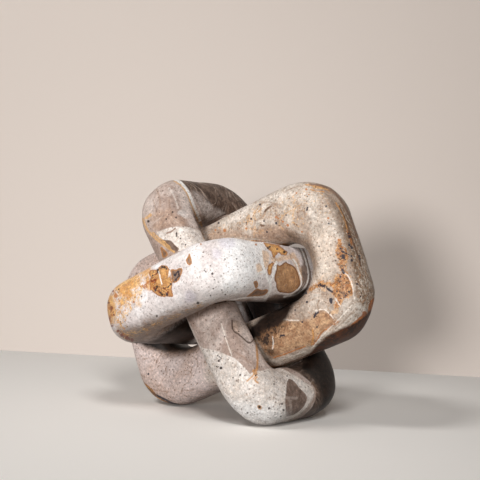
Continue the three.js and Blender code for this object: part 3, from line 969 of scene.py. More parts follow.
def lay_lines(mesh, picture, name, lines):
    """For the thin mark nearest to each vertex: the step to it, its half width and its colour."""
    count = len(picture.places)
    nearest = np.full(count, MARK_REACH)
    step = np.full((count, 3), MARK_REACH)
    width = np.zeros(count)
    colour = np.zeros((count, 4))
    for paint, half_width, line in lines:
        chosen = picture.near(line, MARK_REACH)
        if len(line) > 1:
            reach = nearest_on_line(picture.pixels[chosen], line, False)
        else:
            reach = line - picture.pixels[chosen]
        flat = reach * picture.metres[chosen][:, None] / MM
        distance = np.hypot(flat[:, 0], flat[:, 1]) + BACK_FADE * np.maximum(0, -picture.facing[chosen])
        nearer = distance - half_width < nearest[chosen] - width[chosen]
        hit = chosen[nearer]
        nearest[hit] = distance[nearer]
        width[hit] = half_width
        colour[hit] = srgb(*PAINTS[paint])
        step[hit, :2] = flat[nearer]
        step[hit, 2] = 0
    keep_attribute(mesh, name + "_near", nearest)
    keep_attribute(mesh, name + "_width", width)
    keep_attribute(mesh, name + "_step", step, "FLOAT_VECTOR")
    keep_attribute(mesh, name + "_colour", colour, "FLOAT_COLOR")


def lay_marks(mesh, patches, veins, spots):
    """Writes all that the photo shows on a link's surface as attributes that its stone reads."""
    picture = Picture(mesh)
    lay_patches(mesh, picture, patches)
    lines = [(paint, half, smoothed(points, False)) for paint, half, points in veins.values()]
    lay_lines(mesh, picture, "vein", lines)
    dots = [
        (paint, radius, np.array([[x, y]]))
        for paint, group in spots.values()
        for x, y, radius in group
    ]
    lay_lines(mesh, picture, "spot", dots)
    keep_attribute(mesh, "seen", picture.seen)


# Colours of the thin marks, as on a screen, and how much of the stone each covers
PAINTS = {
    "white": (243, 239, 234, 0.9),
    "pale": (236, 226, 214, 0.6),
    "haze": (206, 192, 182, 0.3),
    "faint_white": (226, 216, 207, 0.45),
    "gold": (206, 160, 104, 0.75),
    "ochre": (188, 132, 72, 0.8),
    "faint_gold": (190, 146, 96, 0.5),
    "rust": (172, 106, 54, 0.85),
    "maroon": (112, 44, 32, 0.85),
    "brown": (124, 90, 68, 0.8),
    "faint_brown": (134, 106, 86, 0.45),
    "dark_brown": (98, 66, 44, 0.85),
    "crack": (74, 56, 46, 0.85),
    "dark": (50, 38, 34, 0.95),
    "ink": (46, 44, 54, 0.95),
}


# What each kind of patch looks like: its pale, dark, fleck and rim colours, how ragged and how soft its
# edge is in millimetres, and how much of the stone below it covers
PATCH_LOOKS = {
    "cream": ((220, 211, 204), (206, 194, 184), (182, 160, 142), None, 0.7, 0.5, 0.97),
    "dull_brown": ((132, 110, 98), (102, 82, 71), (70, 54, 46), None, 0.6, 0.3, 0.97),
    # Painted shade: near black, for the hollows and gaps where the links cross
    "deep": ((42, 30, 24), (20, 14, 11), (60, 43, 32), None, 2.5, 3.0, 1.0),
    "lilac": ((208, 202, 210), (188, 178, 186), (160, 148, 158), None, 2.5, 2.5, 0.6),
    "tan": ((232, 200, 170), (204, 170, 140), (150, 114, 86), None, 2.0, 1.2, 0.85),
    "pale_ochre": ((224, 176, 108), (198, 138, 70), (144, 84, 42), None, 4.0, 2.0, 0.85),
    "ochre": ((218, 164, 98), (172, 116, 58), (84, 56, 40), (150, 94, 42), 1.8, 0.4, 0.94),
    "rust": ((184, 108, 52), (140, 78, 36), (92, 48, 28), None, 1.0, 0.5, 0.9),
    "brown": ((142, 110, 88), (106, 80, 64), (66, 48, 40), (168, 112, 56), 0.8, 0.3, 0.95),
    "smooth_brown": ((190, 148, 108), (156, 116, 82), (132, 92, 62), (120, 76, 42), 0.5, 0.4, 1.0),
    "faint_brown": ((172, 140, 116), (144, 112, 90), (112, 82, 62), None, 3.5, 4.0, 0.55),
    "dark_brown": ((104, 76, 56), (58, 44, 36), (150, 98, 58), None, 3.5, 3.0, 0.92),
    # Grey-brown, darkened further with painted shade where the level link's end turns into the hole
    "band": ((122, 100, 86), (86, 68, 58), (62, 48, 42), None, 1.5, 1.5, 0.92),
    "white": ((226, 218, 212), (204, 194, 188), (184, 172, 166), None, 1.5, 1.5, 0.7),
    "haze": ((232, 218, 204), (218, 202, 186), (196, 174, 152), None, 6.0, 7.0, 0.5),
    "streaked": ((206, 196, 185), (168, 152, 138), (128, 98, 72), None, 2.5, 2.5, 0.85),
    "amber": ((186, 149, 114), (148, 107, 76), (92, 58, 40), None, 2.5, 3.0, 0.92),
    # Brown stone darkened with painted shade, for the undersides
    "under": ((136, 106, 82), (94, 70, 52), (58, 42, 32), None, 5.0, 5.0, 0.78),
    # Dark stone, darkened further with painted shade, for the upright link's dark side
    "dark_stone_and_shade": ((112, 92, 80), (74, 57, 47), (46, 35, 29), None, 0.8, 0.6, 1.0),
    # Painted shade over grey-brown stone
    "shade": ((126, 104, 86), (86, 68, 54), (58, 44, 34), None, 4.0, 5.0, 0.88),
    # Painted light: taupe made paler where light falls on an edge
    "pale_taupe": ((226, 211, 203), (206, 191, 183), (168, 150, 140), None, 3.0, 5.0, 0.75),
    # Painted light: near white, where light falls full on a face
    "bright": ((247, 245, 243), (240, 236, 233), (214, 205, 199), None, 6.0, 8.0, 0.85),
    "gold": ((236, 184, 112), (196, 134, 66), (98, 68, 48), (152, 94, 42), 1.8, 0.4, 0.94),
    "pale_tan": ((208, 184, 168), (186, 160, 143), (142, 114, 94), None, 0.6, 0.5, 0.92),
    "ash": ((200, 189, 183), (168, 155, 148), (122, 107, 100), None, 2.5, 3.5, 0.85),
    # Rust darkened nearly to black with painted shade, for the underside of the lower bar
    "deep_rust": ((76, 40, 20), (34, 18, 11), (112, 60, 26), None, 1.6, 1.2, 0.98),
}


# What the speckled patches look like: how ragged and how soft their edges are in millimetres, how many
# flecks lie in a millimetre, and the colours, each with the share it takes and how much it covers
SPECKLE_LOOKS = {
    "dust": (6.0, 9.0, 0.42, (
        (200, 154, 100, 0.44, 0.6),
        (158, 118, 80, 0.4, 0.65),
        (104, 82, 68, 0.38, 0.7),
        (222, 212, 200, 0.42, 0.5),
    )),
    "speckle": (3.5, 3.5, 0.4, (
        (190, 136, 80, 0.62, 0.8),
        (146, 90, 46, 0.55, 0.85),
        (80, 58, 44, 0.48, 0.88),
        (42, 36, 40, 0.42, 0.92),
        (214, 204, 192, 0.36, 0.6),
    )),
    # Real speckle whose colours are darkened as painted shade, for a side turned from the light
    "pepper": (3.0, 5.0, 0.34, (
        (144, 114, 86, 0.57, 0.68),
        (166, 108, 60, 0.44, 0.8),
        (214, 202, 188, 0.48, 0.75),
        (98, 78, 64, 0.47, 0.8),
        (48, 40, 38, 0.4, 0.9),
    )),
    "ink_dust": (3.0, 4.0, 0.22, (
        (122, 88, 62, 0.56, 0.8),
        (46, 36, 32, 0.52, 0.9),
        (180, 120, 66, 0.38, 0.85),
    )),
    "gold_dust": (6.0, 7.0, 0.3, (
        (224, 178, 112, 0.53, 0.65),
        (196, 136, 66, 0.48, 0.8),
        (148, 86, 44, 0.43, 0.85),
        (104, 46, 30, 0.38, 0.9),
    )),
}


# A swirl bends most patterns: its scale for each millimetre, and how far it pushes, in millimetres
SWIRL_SCALE = 0.014
SWIRL_PUSH = 34.0

# How far the patterns move with each seed, and with each new pattern, in millimetres
SEED_STEP = (131.0, 57.0, 211.0)
PATTERN_STEP = (37.0, 17.0, 29.0)

# How deep the patches are on the sides that the photo doesn't show, from a noise of 0 to 1
WILD_DEPTH = 90.0

# What a dark fleck of a patch is tinted with, how much the stone shines, and the depth of its relief
WARM_TINT = (1.0, 0.93, 0.8, 1.0)
GLOSS = 0.22
RELIEF = 0.5


class Stone:
    """The nodes of one link's stone, from the ground colour up. Scales count for each millimetre."""

    def __init__(self, name, seed):
        self.material, self.graph = new_material(name)
        graph = self.graph
        self.millimetres = graph.vector("ADD", self.here(), tuple(seed * part for part in SEED_STEP))
        swirl = graph.drift(self.millimetres, scale=SWIRL_SCALE, detail=2.0, roughness=0.5)
        self.place = graph.vector("ADD", self.millimetres, graph.scaled(swirl, SWIRL_PUSH))
        self.ragged = graph.noise(self.millimetres, scale=0.2, detail=5.0, roughness=0.72) - 0.5
        self.unseen = 1 - graph.smooth(graph.attribute("seen"), 0.25, 0.75)
        self.colour = None
        self.height = 0.0
        self.count = 0

    def here(self):
        """The place in the link, in millimetres."""
        return self.graph.scaled(self.graph.node("ShaderNodeTexCoord", None, None, "Object"), 1 / MM)

    def moved(self, pattern=None):
        """The place in the stone, moved on each time, so that no two patterns agree."""
        self.count += 1
        step = tuple(self.count * part for part in PATTERN_STEP)
        return self.graph.vector("ADD", pattern or self.place, step)

    def lay(self, amount, colour, mask=None):
        """Lays a colour over what is there, by an amount from 0 to 1, and perhaps only in a mask."""
        if mask is not None:
            amount = amount * mask
        self.colour = self.graph.mix(amount, self.colour, colour)

    def ground(self, pale, middle, dark):
        """Clouds of three close colours."""
        graph = self.graph
        broad = graph.noise(self.place, scale=0.02, detail=3.0, roughness=0.55)
        finer = graph.noise(self.place, scale=0.075, detail=4.0, roughness=0.6)
        body = graph.mix(graph.smooth(broad + (finer - 0.5) * 0.5, 0.36, 0.62), dark, middle)
        self.colour = graph.mix(graph.smooth(finer + (broad - 0.5) * 0.6, 0.5, 0.72), body, pale)

    def veil(self, colour, scale, spread, covers, cluster, mask=None):
        """Ragged flecks that gather in clusters. Their spread is the share of the stone that has them."""
        graph = self.graph
        flecks = graph.noise(self.moved(self.millimetres), scale=scale, detail=4.0, roughness=0.7)
        crowd = graph.noise(self.moved(), scale=cluster, detail=2.0, roughness=0.5)
        amount = graph.smooth(flecks + (crowd - 0.5) * 0.9, 1 - spread, 1.08 - spread) * covers
        self.lay(amount, colour, mask)

    def cover(self, mask, first, second, variation):
        """Lays two mixed colours over what is there."""
        graph = self.graph
        clouds = graph.noise(self.moved(), scale=variation, detail=4.0, roughness=0.6)
        self.lay(mask, graph.mix(graph.smooth(clouds, 0.38, 0.64), first, second))

    def flow(self, colour, scale, count, width, covers, mask=None):
        """Thin lines that follow one another through the stone, as the levels of a smooth field."""
        graph = self.graph
        place = self.moved()
        level = graph.math("FRACT", graph.noise(place, scale=scale, detail=2.5, roughness=0.45) * count)
        line = 1 - graph.smooth(abs(level - 0.5), width * 0.3, width)
        broken = graph.smooth(graph.noise(place, scale=scale * 4, detail=2.0, roughness=0.6), 0.42, 0.6)
        self.lay(line * broken * covers, colour, mask)

    def wild(self, scale, threshold):
        """Where a patch may lie on the sides that the photo doesn't show, as a depth in millimetres."""
        field = self.graph.noise(self.moved(), scale=scale, detail=3.0, roughness=0.5)
        return (field - threshold) * WILD_DEPTH

    def depth(self, kind, free, ragged):
        """How deep the stone lies in a patch: measured where the photo shows it, and free elsewhere."""
        edge = self.graph.attribute(kind)
        if free is not None:
            edge = edge * (1 - self.unseen) + free * self.unseen
        return edge + self.ragged * (2 * ragged)

    def patch(self, kind, free=None):
        """One kind of patch, in two mixed colours with flecks and perhaps a rim."""
        graph = self.graph
        *colours, ragged, soft, covers = PATCH_LOOKS[kind]
        pale, dark, fleck, rim = (colour and srgb(*colour) for colour in colours)
        edge = self.depth(kind, free, ragged)
        clouds = graph.noise(self.moved(), scale=0.14, detail=4.0, roughness=0.65)
        inside = graph.mix(graph.smooth(clouds, 0.36, 0.64), pale, dark)
        flecks = graph.noise(self.moved(self.millimetres), scale=0.42, detail=3.0, roughness=0.75)
        inside = graph.mix(graph.smooth(flecks, 0.55, 0.66) * 0.75, inside, fleck)
        inside = graph.mix(graph.smooth(flecks, 0.42, 0.34) * 0.5, inside, WARM_TINT, "SOFT_LIGHT")
        if rim is not None:
            inside = graph.mix(1 - graph.smooth(edge, 0.2, 1.8), inside, rim)
        mask = graph.smooth(edge, -soft, soft) * covers
        self.lay(mask, inside)
        return mask

    def speckle(self, kind, free=None):
        """Crowded flecks of several colours, thickest in the middle of a patch."""
        graph = self.graph
        ragged, soft, scale, layers = SPECKLE_LOOKS[kind]
        crowd = graph.smooth(self.depth(kind, free, ragged), -soft, soft)
        for *colour, share, covers in layers:
            flecks = graph.noise(self.moved(self.millimetres), scale=scale, detail=4.0, roughness=0.75)
            amount = graph.smooth(flecks - (1 - crowd) * 0.4, 1 - share, 1.07 - share) * covers
            self.lay(amount, srgb(*colour))

    def layers(self, kinds):
        """Patches and speckles, one over another, each with the scale and threshold where it is free."""
        for kind, wild in kinds.items():
            laid = self.speckle if kind in SPECKLE_LOOKS else self.patch
            laid(kind, wild and self.wild(*wild))

    def beyond(self, direction, middle, start, ragged):
        """How far the stone lies beyond a plane square to a direction, in millimetres."""
        graph = self.graph
        out = graph.vector("SUBTRACT", self.here(), tuple(middle))
        height = graph.vector("DOT_PRODUCT", out, tuple(direction), output="Value")
        swing = graph.noise(self.place, scale=0.03, detail=4.0, roughness=0.6) - 0.5
        return height - start + swing * (2 * ragged)

    def lines(self, name, wobble):
        """The thin marks of the photo, veins or spots, with edges that wobble by some millimetres."""
        graph = self.graph
        drift = graph.scaled(graph.drift(self.millimetres, scale=0.4, detail=2.0, roughness=0.6), wobble)
        step = graph.vector("ADD", graph.attribute(name + "_step", "Vector"), drift)
        distance = graph.vector("LENGTH", step, output="Value")
        width = graph.attribute(name + "_width")
        close = 1 - graph.smooth(graph.attribute(name + "_near") - width, 1.2, 2.2)
        uneven = graph.noise(self.millimetres, scale=0.3, detail=2.0, roughness=0.6) + 0.5
        line = graph.smooth(width * uneven - distance, -0.5, 0.2)
        mask = line * close * graph.attribute(name + "_colour", "Alpha")
        self.lay(mask, graph.attribute(name + "_colour", "Color"))

    def free_veins(self, colour, scale, width, covers):
        """Veins that wander through the stone, on the sides that the photo doesn't show."""
        graph = self.graph
        place = self.moved()
        field = abs(graph.noise(place, scale=scale, detail=2.0, roughness=0.45) - 0.5)
        broken = graph.smooth(graph.noise(place, scale=scale * 1.7, detail=1.0, roughness=0.5), 0.45, 0.6)
        line = 1 - graph.smooth(field, width * 0.4, width)
        self.lay(line * broken * self.unseen * covers, colour)

    def grain(self, dark, strength, pale=0.35):
        """Fine grain, with darker and paler crystals, over everything laid so far."""
        graph = self.graph
        fine = graph.noise(self.millimetres, scale=0.42, detail=3.0, roughness=0.8)
        coarse = graph.noise(self.moved(self.millimetres), scale=0.18, detail=3.0, roughness=0.6)
        shade = 1 + (fine - 0.5) * (2.6 * strength) + (coarse - 0.5) * (0.9 * strength)
        self.colour = graph.scaled(self.colour, shade)
        crystals, pick = graph.cells(self.millimetres, 0.5)
        near = 1 - graph.smooth(crystals, 0.3, 0.55)
        darker = graph.smooth(pick.named("Red"), 0.84, 0.9) * near * strength
        paler = graph.smooth(pick.named("Green"), 0.84, 0.9) * near * strength
        self.lay(darker, dark)
        self.colour = graph.scaled(self.colour, 1 + paler * pale)
        self.height = self.height + fine * 0.15

    def pits(self, colour, scale, radius, share):
        """Small open pores, at random places, some in clusters."""
        graph = self.graph
        pores, pick = graph.cells(self.millimetres, scale)
        size = graph.smooth(pick.named("Blue"), 0.0, 1.0, 0.35, 1.0) * (radius * scale)
        crowd = graph.noise(self.moved(), scale=0.03, detail=2.0, roughness=0.5)
        chance = pick.named("Red") + (crowd - 0.5) * 0.7
        open_here = graph.smooth(chance, 1 - share, 1.03 - share)
        mask = graph.smooth(size - pores, -0.15 * scale, 0.2 * scale) * open_here
        self.lay(mask * 0.9, colour)
        self.height = self.height - mask * 0.6

    def finish(self, roughness):
        """Joins the colour, the sheen and the relief to the shader."""
        graph = self.graph
        rough = graph.noise(self.place, scale=0.09, detail=3.0, roughness=0.5) * 0.16 + (roughness - 0.08)
        height = self.height + graph.noise(self.millimetres, scale=0.16, detail=3.0, roughness=0.55) * 0.5
        inputs = {"Height": height, "Strength": 0.5, "Distance": RELIEF * MM}
        bump = graph.node("ShaderNodeBump", None, inputs)
        shader = graph.node("ShaderNodeBsdfPrincipled", None, {
            "Base Color": self.colour,
            "Roughness": rough,
            "Specular IOR Level": GLOSS,
            "Normal": bump,
        })
        graph.node("ShaderNodeOutputMaterial", None, {"Surface": shader})
        return self.material


def leaning_stone(settings, axes, middle):
    """Beige stone with rust and gold at the near end, smooth and pinker at the far one."""
    stone = Stone("honed_beige_stone", settings.seed)
    stone.ground(settings.pale, settings.body, settings.dark)
    stone.veil(srgb(206, 160, 112), scale=0.2, spread=0.34, covers=0.55, cluster=0.03)
    stone.veil(srgb(158, 128, 106), scale=0.26, spread=0.32, covers=0.5, cluster=0.04)
    stone.flow(srgb(158, 124, 96), scale=0.02, count=16.0, width=0.12, covers=0.5)
    past = stone.beyond(-axes[:, 0], middle, start=42.0, ragged=16.0)
    far = stone.graph.smooth(past, -9.0, 9.0)
    stone.cover(far, settings.far_pale, settings.far_dark, variation=0.03)
    stone.veil(srgb(160, 132, 116), scale=0.12, spread=0.3, covers=0.45, cluster=0.03, mask=far)
    stone.flow(srgb(160, 132, 116), scale=0.012, count=22.0, width=0.12, covers=0.55, mask=far)
    stone.layers({
        "haze": (0.013, 0.62),
        "faint_brown": (0.02, 0.6),
        # Brown darkened with painted shade, below the level link
        "under": (0.02, 0.7),
        # Painted shade on the right side and at the rim of the hole
        "shade": (0.014, 0.66),
        "streaked": (0.013, 0.66),
        "amber": (0.017, 0.62),
        "dust": (0.02, 0.5),
        "speckle": (0.016, 0.6),
        # Speckle on the right side, darkened as painted shade
        "pepper": None,
        "ochre": (0.016, 0.68),
        "dark_brown": (0.015, 0.7),
        "ink_dust": None,
        "rust": (0.03, 0.78),
    })
    stone.free_veins(srgb(232, 220, 206), scale=0.012, width=0.012, covers=0.8)
    stone.free_veins(srgb(170, 116, 66), scale=0.016, width=0.008, covers=0.7)
    stone.lines("vein", wobble=1.4)
    stone.grain(srgb(120, 92, 72), strength=0.7)
    stone.pits(srgb(84, 64, 52), scale=0.26, radius=0.9, share=0.2)
    stone.pits(srgb(140, 110, 88), scale=0.45, radius=0.6, share=0.34)
    # Painted shade last: the rust below the lower bar darkened as shade, and near black in the hollows
    stone.layers({"deep_rust": (0.014, 0.74), "deep": None})
    stone.lines("spot", wobble=0.9)
    return stone.finish(settings.roughness)


def upright_stone(settings, axes, middle):
    """Taupe stone with cream patches and veins, and a dark flat side that is partly darker stone and
    partly painted shade.
    """
    stone = Stone("honed_taupe_stone", settings.seed)
    stone.ground(settings.pale, settings.body, settings.dark)
    stone.layers({"faint_brown": (0.02, 0.62)})
    stone.flow(srgb(206, 190, 180), scale=0.014, count=20.0, width=0.1, covers=0.35)
    # One flat side is darker stone, darkened further with painted shade; the bands below follow it
    dark_stone_and_shade = stone.patch("dark_stone_and_shade", stone.beyond(axes[:, 2], middle, start=15.0, ragged=7.0))
    stone.flow(srgb(172, 152, 138), scale=0.018, count=20.0, width=0.16, covers=0.7, mask=dark_stone_and_shade)
    stone.flow(srgb(52, 38, 32), scale=0.03, count=12.0, width=0.2, covers=0.7, mask=dark_stone_and_shade)
    stone.layers({
        "cream": (0.013, 0.62),
        "white": (0.03, 0.8),
        "ash": (0.016, 0.7),
        "pale_tan": (0.02, 0.68),
        "brown": (0.018, 0.7),
        "dull_brown": None,
        # Painted light: paler taupe on the right edges
        "pale_taupe": None,
        # Painted light: near white on the bottom of the lower end
        "bright": None,
    })
    stone.free_veins(srgb(228, 218, 208), scale=0.012, width=0.012, covers=0.8)
    stone.free_veins(srgb(196, 150, 96), scale=0.015, width=0.008, covers=0.7)
    stone.lines("vein", wobble=1.2)
    stone.grain(srgb(104, 82, 70), strength=0.6)
    stone.pits(srgb(74, 56, 46), scale=0.24, radius=0.85, share=0.17)
    stone.pits(srgb(122, 98, 84), scale=0.45, radius=0.55, share=0.3)
    # Painted shade last: near black in the gaps where the other links cross
    stone.layers({"deep": None})
    stone.lines("spot", wobble=0.8)
    return stone.finish(settings.roughness)


def level_stone(settings, axes, middle):
    """White stone, speckled, with gold and brown patches, painted light on its right part, and an
    underside that is brown and darkened with painted shade.
    """
    stone = Stone("honed_white_stone", settings.seed)
    stone.ground(settings.pale, settings.body, settings.dark)
    # Painted light first, near white on the right part of the level link
    stone.layers({"bright": None, "lilac": (0.02, 0.62)})
    stone.veil(srgb(196, 178, 166), scale=0.2, spread=0.3, covers=0.4, cluster=0.03)
    # The bottom side is brown stone darkened with painted shade; the gold and dark streaks below follow it
    under = stone.patch("under", stone.beyond(-axes[:, 2], middle, start=23.0, ragged=8.0))
    stone.flow(srgb(176, 126, 76), scale=0.02, count=16.0, width=0.2, covers=0.6, mask=under)
    stone.flow(srgb(58, 42, 34), scale=0.03, count=10.0, width=0.16, covers=0.6, mask=under)
    stone.layers({
        "gold_dust": (0.016, 0.58),
        "pale_ochre": (0.018, 0.66),
        "band": (0.013, 0.7),
        "tan": (0.018, 0.66),
        "ochre": (0.016, 0.68),
        "gold": None,
        "brown": (0.018, 0.72),
        "smooth_brown": (0.014, 0.72),
        "rust": (0.035, 0.8),
    })
    stone.free_veins(srgb(240, 236, 232), scale=0.012, width=0.011, covers=0.8)
    stone.free_veins(srgb(188, 140, 86), scale=0.016, width=0.007, covers=0.7)
    stone.lines("vein", wobble=1.2)
    stone.grain(srgb(128, 110, 100), strength=0.5, pale=0.12)
    stone.pits(srgb(98, 82, 74), scale=0.3, radius=0.75, share=0.17)
    stone.pits(srgb(150, 132, 120), scale=0.45, radius=0.55, share=0.3)
    # Painted shade last: near black in the hollows below both ends
    stone.layers({"deep": None})
    stone.lines("spot", wobble=0.8)
    return stone.finish(settings.roughness)


def number_property(name, description, value, least=0.0, **rest):
    return FloatProperty(name=name, description=description, default=value, min=least, **rest)


def length_property(name, description, millimetres):
    return number_property(name, description, millimetres * MM, unit="LENGTH")


def shape_property(name, millimetres):
    """A length that is also an input of the link's node tree."""
    return length_property(name, LINK_INPUTS[name], millimetres)


def factor_property(name, description, value):
    return number_property(name, description, value, max=1.0, subtype="FACTOR")


def angle_property(name, description, degrees):
    angle = math.radians(degrees)
    return FloatProperty(name=name, description=description, default=angle, subtype="ANGLE")


def colour_property(name, description, colour):
    return FloatVectorProperty(
        name=name, description=description, default=srgb(*colour), size=4, subtype="COLOR"
    )


class LeaningLinkSettings(bpy.types.PropertyGroup):
    thickness: shape_property("Thickness", 51)
    end_thickness: shape_property("End Thickness", 45)
    outer_radius: shape_property("Outer Radius", 44.5)
    hole_radius: shape_property("Hole Radius", 28)
    hole_shift: shape_property("Hole Shift", 0)
    unevenness: shape_property("Unevenness", 1.1)
    seed: number_property("Seed", "Picks other hollows and another stone", 1.0)
    roughness: factor_property("Roughness", "How dull the honed stone is", 0.46)
    pale: colour_property("Pale", "Palest clouds of the stone", (206, 194, 183))
    body: colour_property("Body", "Colour of most of the stone", (189, 176, 163))
    dark: colour_property("Dark", "Darkest clouds of the stone", (168, 149, 134))
    far_pale: colour_property("Far Pale", "Paler tint of the far end", (214, 196, 190))
    far_dark: colour_property("Far Dark", "Darker tint of the far end", (194, 171, 160))


class UprightLinkSettings(bpy.types.PropertyGroup):
    thickness: shape_property("Thickness", 42)
    end_thickness: shape_property("End Thickness", 46.5)
    outer_radius: shape_property("Outer Radius", 44.5)
    hole_radius: shape_property("Hole Radius", 9.5)
    hole_shift: shape_property("Hole Shift", 2.5)
    unevenness: shape_property("Unevenness", 1.0)
    seed: number_property("Seed", "Picks other hollows and another stone", 2.0)
    roughness: factor_property("Roughness", "How dull the honed stone is", 0.44)
    pale: colour_property("Pale", "Palest clouds of the stone", (198, 182, 173))
    body: colour_property("Body", "Colour of most of the stone", (182, 163, 153))
    dark: colour_property("Dark", "Darkest clouds of the stone", (160, 138, 126))


class LevelLinkSettings(bpy.types.PropertyGroup):
    thickness: shape_property("Thickness", 50)
    end_thickness: shape_property("End Thickness", 50.5)
    outer_radius: shape_property("Outer Radius", 42)
    hole_radius: shape_property("Hole Radius", 6)
    hole_shift: shape_property("Hole Shift", 0)
    unevenness: shape_property("Unevenness", 1.0)
    seed: number_property("Seed", "Picks other hollows and another stone", 3.0)
    roughness: factor_property("Roughness", "How dull the honed stone is", 0.44)
    pale: colour_property("Pale", "Palest clouds of the stone", (234, 228, 226))
    body: colour_property("Body", "Colour of most of the stone", (224, 215, 211))
    dark: colour_property("Dark", "Darkest clouds of the stone", (206, 194, 190))


class StageSettings(bpy.types.PropertyGroup):
    distance: length_property("Distance", "From the camera to the middle of the leaning link", 1067.3)
    lens: number_property("Lens", "Focal length in millimetres", 82.76, least=1.0)
    azimuth: angle_property("Azimuth", "Heading of the camera round the knot", 0.0)
    elevation: angle_property("Elevation", "Angle at which the camera looks down", 1.06)
    roll: angle_property("Roll", "Turn of the picture about its middle", 2.65)
    middle_x: number_property("Middle Across", "Pixel of the leaning link's middle", 241.34)
    middle_y: number_property("Middle Down", "Pixel of the leaning link's middle", 296.29)
    wall_distance: length_property("Wall Distance", "From the knot's middle back to the wall", 364)
    wall_turn: angle_property("Wall Turn", "Turn of the wall from square to the view", -4.4)
    floor_colour: colour_property("Floor", "Colour of the floor", (248, 243, 237))
    wall_colour: colour_property("Wall", "Colour of the wall", (222, 209, 199))
    key_strength: number_property("Key", "Light of the main lamp on the knot", 0.66)
    fill_strength: number_property("Fill", "Light of the lamp above the right", 0.45)
    top_strength: number_property("Top", "Light of the soft lamp above", 0.36)
    sky_strength: number_property("Sky", "Even light from all round", 0.05)


# The same for all links: how square the section is, and in millimetres how far the finished stone lies
# inside the rough size and how far apart the hollows are
SECTION_POWER = 2.6
SKIN = 0.3
HOLLOW_SIZE = 38.0


def new_object(name, mesh):
    """An object in the scene for a mesh, a lamp or a camera."""
    made = bpy.data.objects.new(name, mesh)
    bpy.context.scene.collection.objects.link(made)
    return made


def link_mesh(name, settings, size, stone):
    """Runs the link's node tree once and returns its plain mesh."""
    tree = bpy.data.node_groups.get("Link Shape") or link_tree()
    holder = new_object(name, bpy.data.meshes.new(name))
    modifier = holder.modifiers.new("Link", "NODES")
    modifier.node_group = tree
    values = {
        "Length": float(size[0]),
        "Width": float(size[1]),
        "Depth": float(size[2]),
        "Thickness": settings.thickness,
        "End Thickness": settings.end_thickness,
        "Outer Radius": settings.outer_radius,
        "Hole Radius": settings.hole_radius,
        "Hole Shift": settings.hole_shift,
        "Section Power": SECTION_POWER,
        "Skin": SKIN * MM,
        "Unevenness": settings.unevenness,
        "Hollow Size": HOLLOW_SIZE * MM,
        "Seed": settings.seed,
        "Stone": stone,
    }
    for item in tree.interface.items_tree:
        if item.in_out == "INPUT":
            modifier[item.identifier] = values[item.name]
    evaluated = holder.evaluated_get(bpy.context.evaluated_depsgraph_get())
    mesh = bpy.data.meshes.new_from_object(evaluated)
    bpy.data.objects.remove(holder)
    return mesh


def make_link(node, body, settings, make_stone, marks):
    """One link, in its place in the knot, in its stone, standing for its rough solid."""
    middle, axes, size = link_axes(node)
    stone = make_stone(settings, axes, middle / MM)
    mesh = link_mesh(node + "_stone", settings, size, stone)
    place = Matrix(np.vstack((np.column_stack((axes, middle)), (0, 0, 0, 1))).tolist())
    mesh.transform(place)
    corners = np.array([corner.co for corner in mesh.vertices], float)
    corners[:, 2] = np.maximum(corners[:, 2], 0)
    mesh.vertices.foreach_set("co", corners.astype(np.float32).ravel())
    mesh.update()
    lay_marks(mesh, *marks)
    mesh.name = node + "_stone"
    piece = new_object(node + "_stone", mesh)
    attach(piece, body)
    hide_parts(node)
    return piece


class KNOT_OT_leaning_link(bpy.types.Operator):
    """Make the leaning link, beige, with rust and gold at its near end"""

    bl_idname = "knot.leaning_link"
    bl_label = "Leaning Link"

    def execute(self, context):
        settings = context.scene.knot_leaning
        marks = (LEANING_PATCHES, LEANING_VEINS, LEANING_SPOTS)
        make_link("leaning_link", "leaning", settings, leaning_stone, marks)
        return {"FINISHED"}


class KNOT_OT_upright_link(bpy.types.Operator):
    """Make the upright link, taupe, with cream patches and a dark side that is partly painted shade"""

    bl_idname = "knot.upright_link"
    bl_label = "Upright Link"

    def execute(self, context):
        settings = context.scene.knot_upright
        marks = (UPRIGHT_PATCHES, UPRIGHT_VEINS, UPRIGHT_SPOTS)
        make_link("upright_link", "upright", settings, upright_stone, marks)
        return {"FINISHED"}


class KNOT_OT_level_link(bpy.types.Operator):
    """Make the level link, white, with gold and brown patches"""

    bl_idname = "knot.level_link"
    bl_label = "Level Link"

    def execute(self, context):
        settings = context.scene.knot_level
        marks = (LEVEL_PATCHES, LEVEL_VEINS, LEVEL_SPOTS)
        make_link("level_link", "level", settings, level_stone, marks)
        return {"FINISHED"}


# The share of its colour that a paint of the stage shows to the knot, so that hollows stay dark
BOUNCE = 0.35
PAINT_ROUGHNESS = 0.8

# How strongly a paint is clouded, and how dark its clouds are beside it
CLOUDING = 0.25
CLOUD_SHADE = 0.9


def plain_surface(name, colour, see_through_back=False):
    """A matt paint, which can be looked through from behind."""
    material, graph = new_material(name)
    here = graph.node("ShaderNodeTexCoord", None, None, "Object")
    cloud = graph.noise(here, scale=2.5, detail=2.0, roughness=0.5)
    shade = tuple(part * CLOUD_SHADE for part in colour[:3]) + (1.0,)
    tint = graph.mix(cloud * CLOUDING, tuple(colour), shade)
    dim = tuple(part * BOUNCE for part in colour[:3]) + (1.0,)
    path = graph.node("ShaderNodeLightPath", None, None, "Is Camera Ray")
    looked_at = graph.clamp(path + path.named("Is Glossy Ray") + path.named("Is Transmission Ray"))
    tint = graph.mix(looked_at, dim, tint)
    paint = {"Base Color": tint, "Roughness": PAINT_ROUGHNESS}
    surface = graph.node("ShaderNodeBsdfPrincipled", None, paint)
    if see_through_back:
        behind = graph.node("ShaderNodeNewGeometry", None, None, "Backfacing")
        clear = graph.node("ShaderNodeBsdfTransparent")
        surface = graph.node("ShaderNodeMixShader", None, {0: behind, 1: surface, 2: clear})
    graph.node("ShaderNodeOutputMaterial", None, {"Surface": surface})
    return material


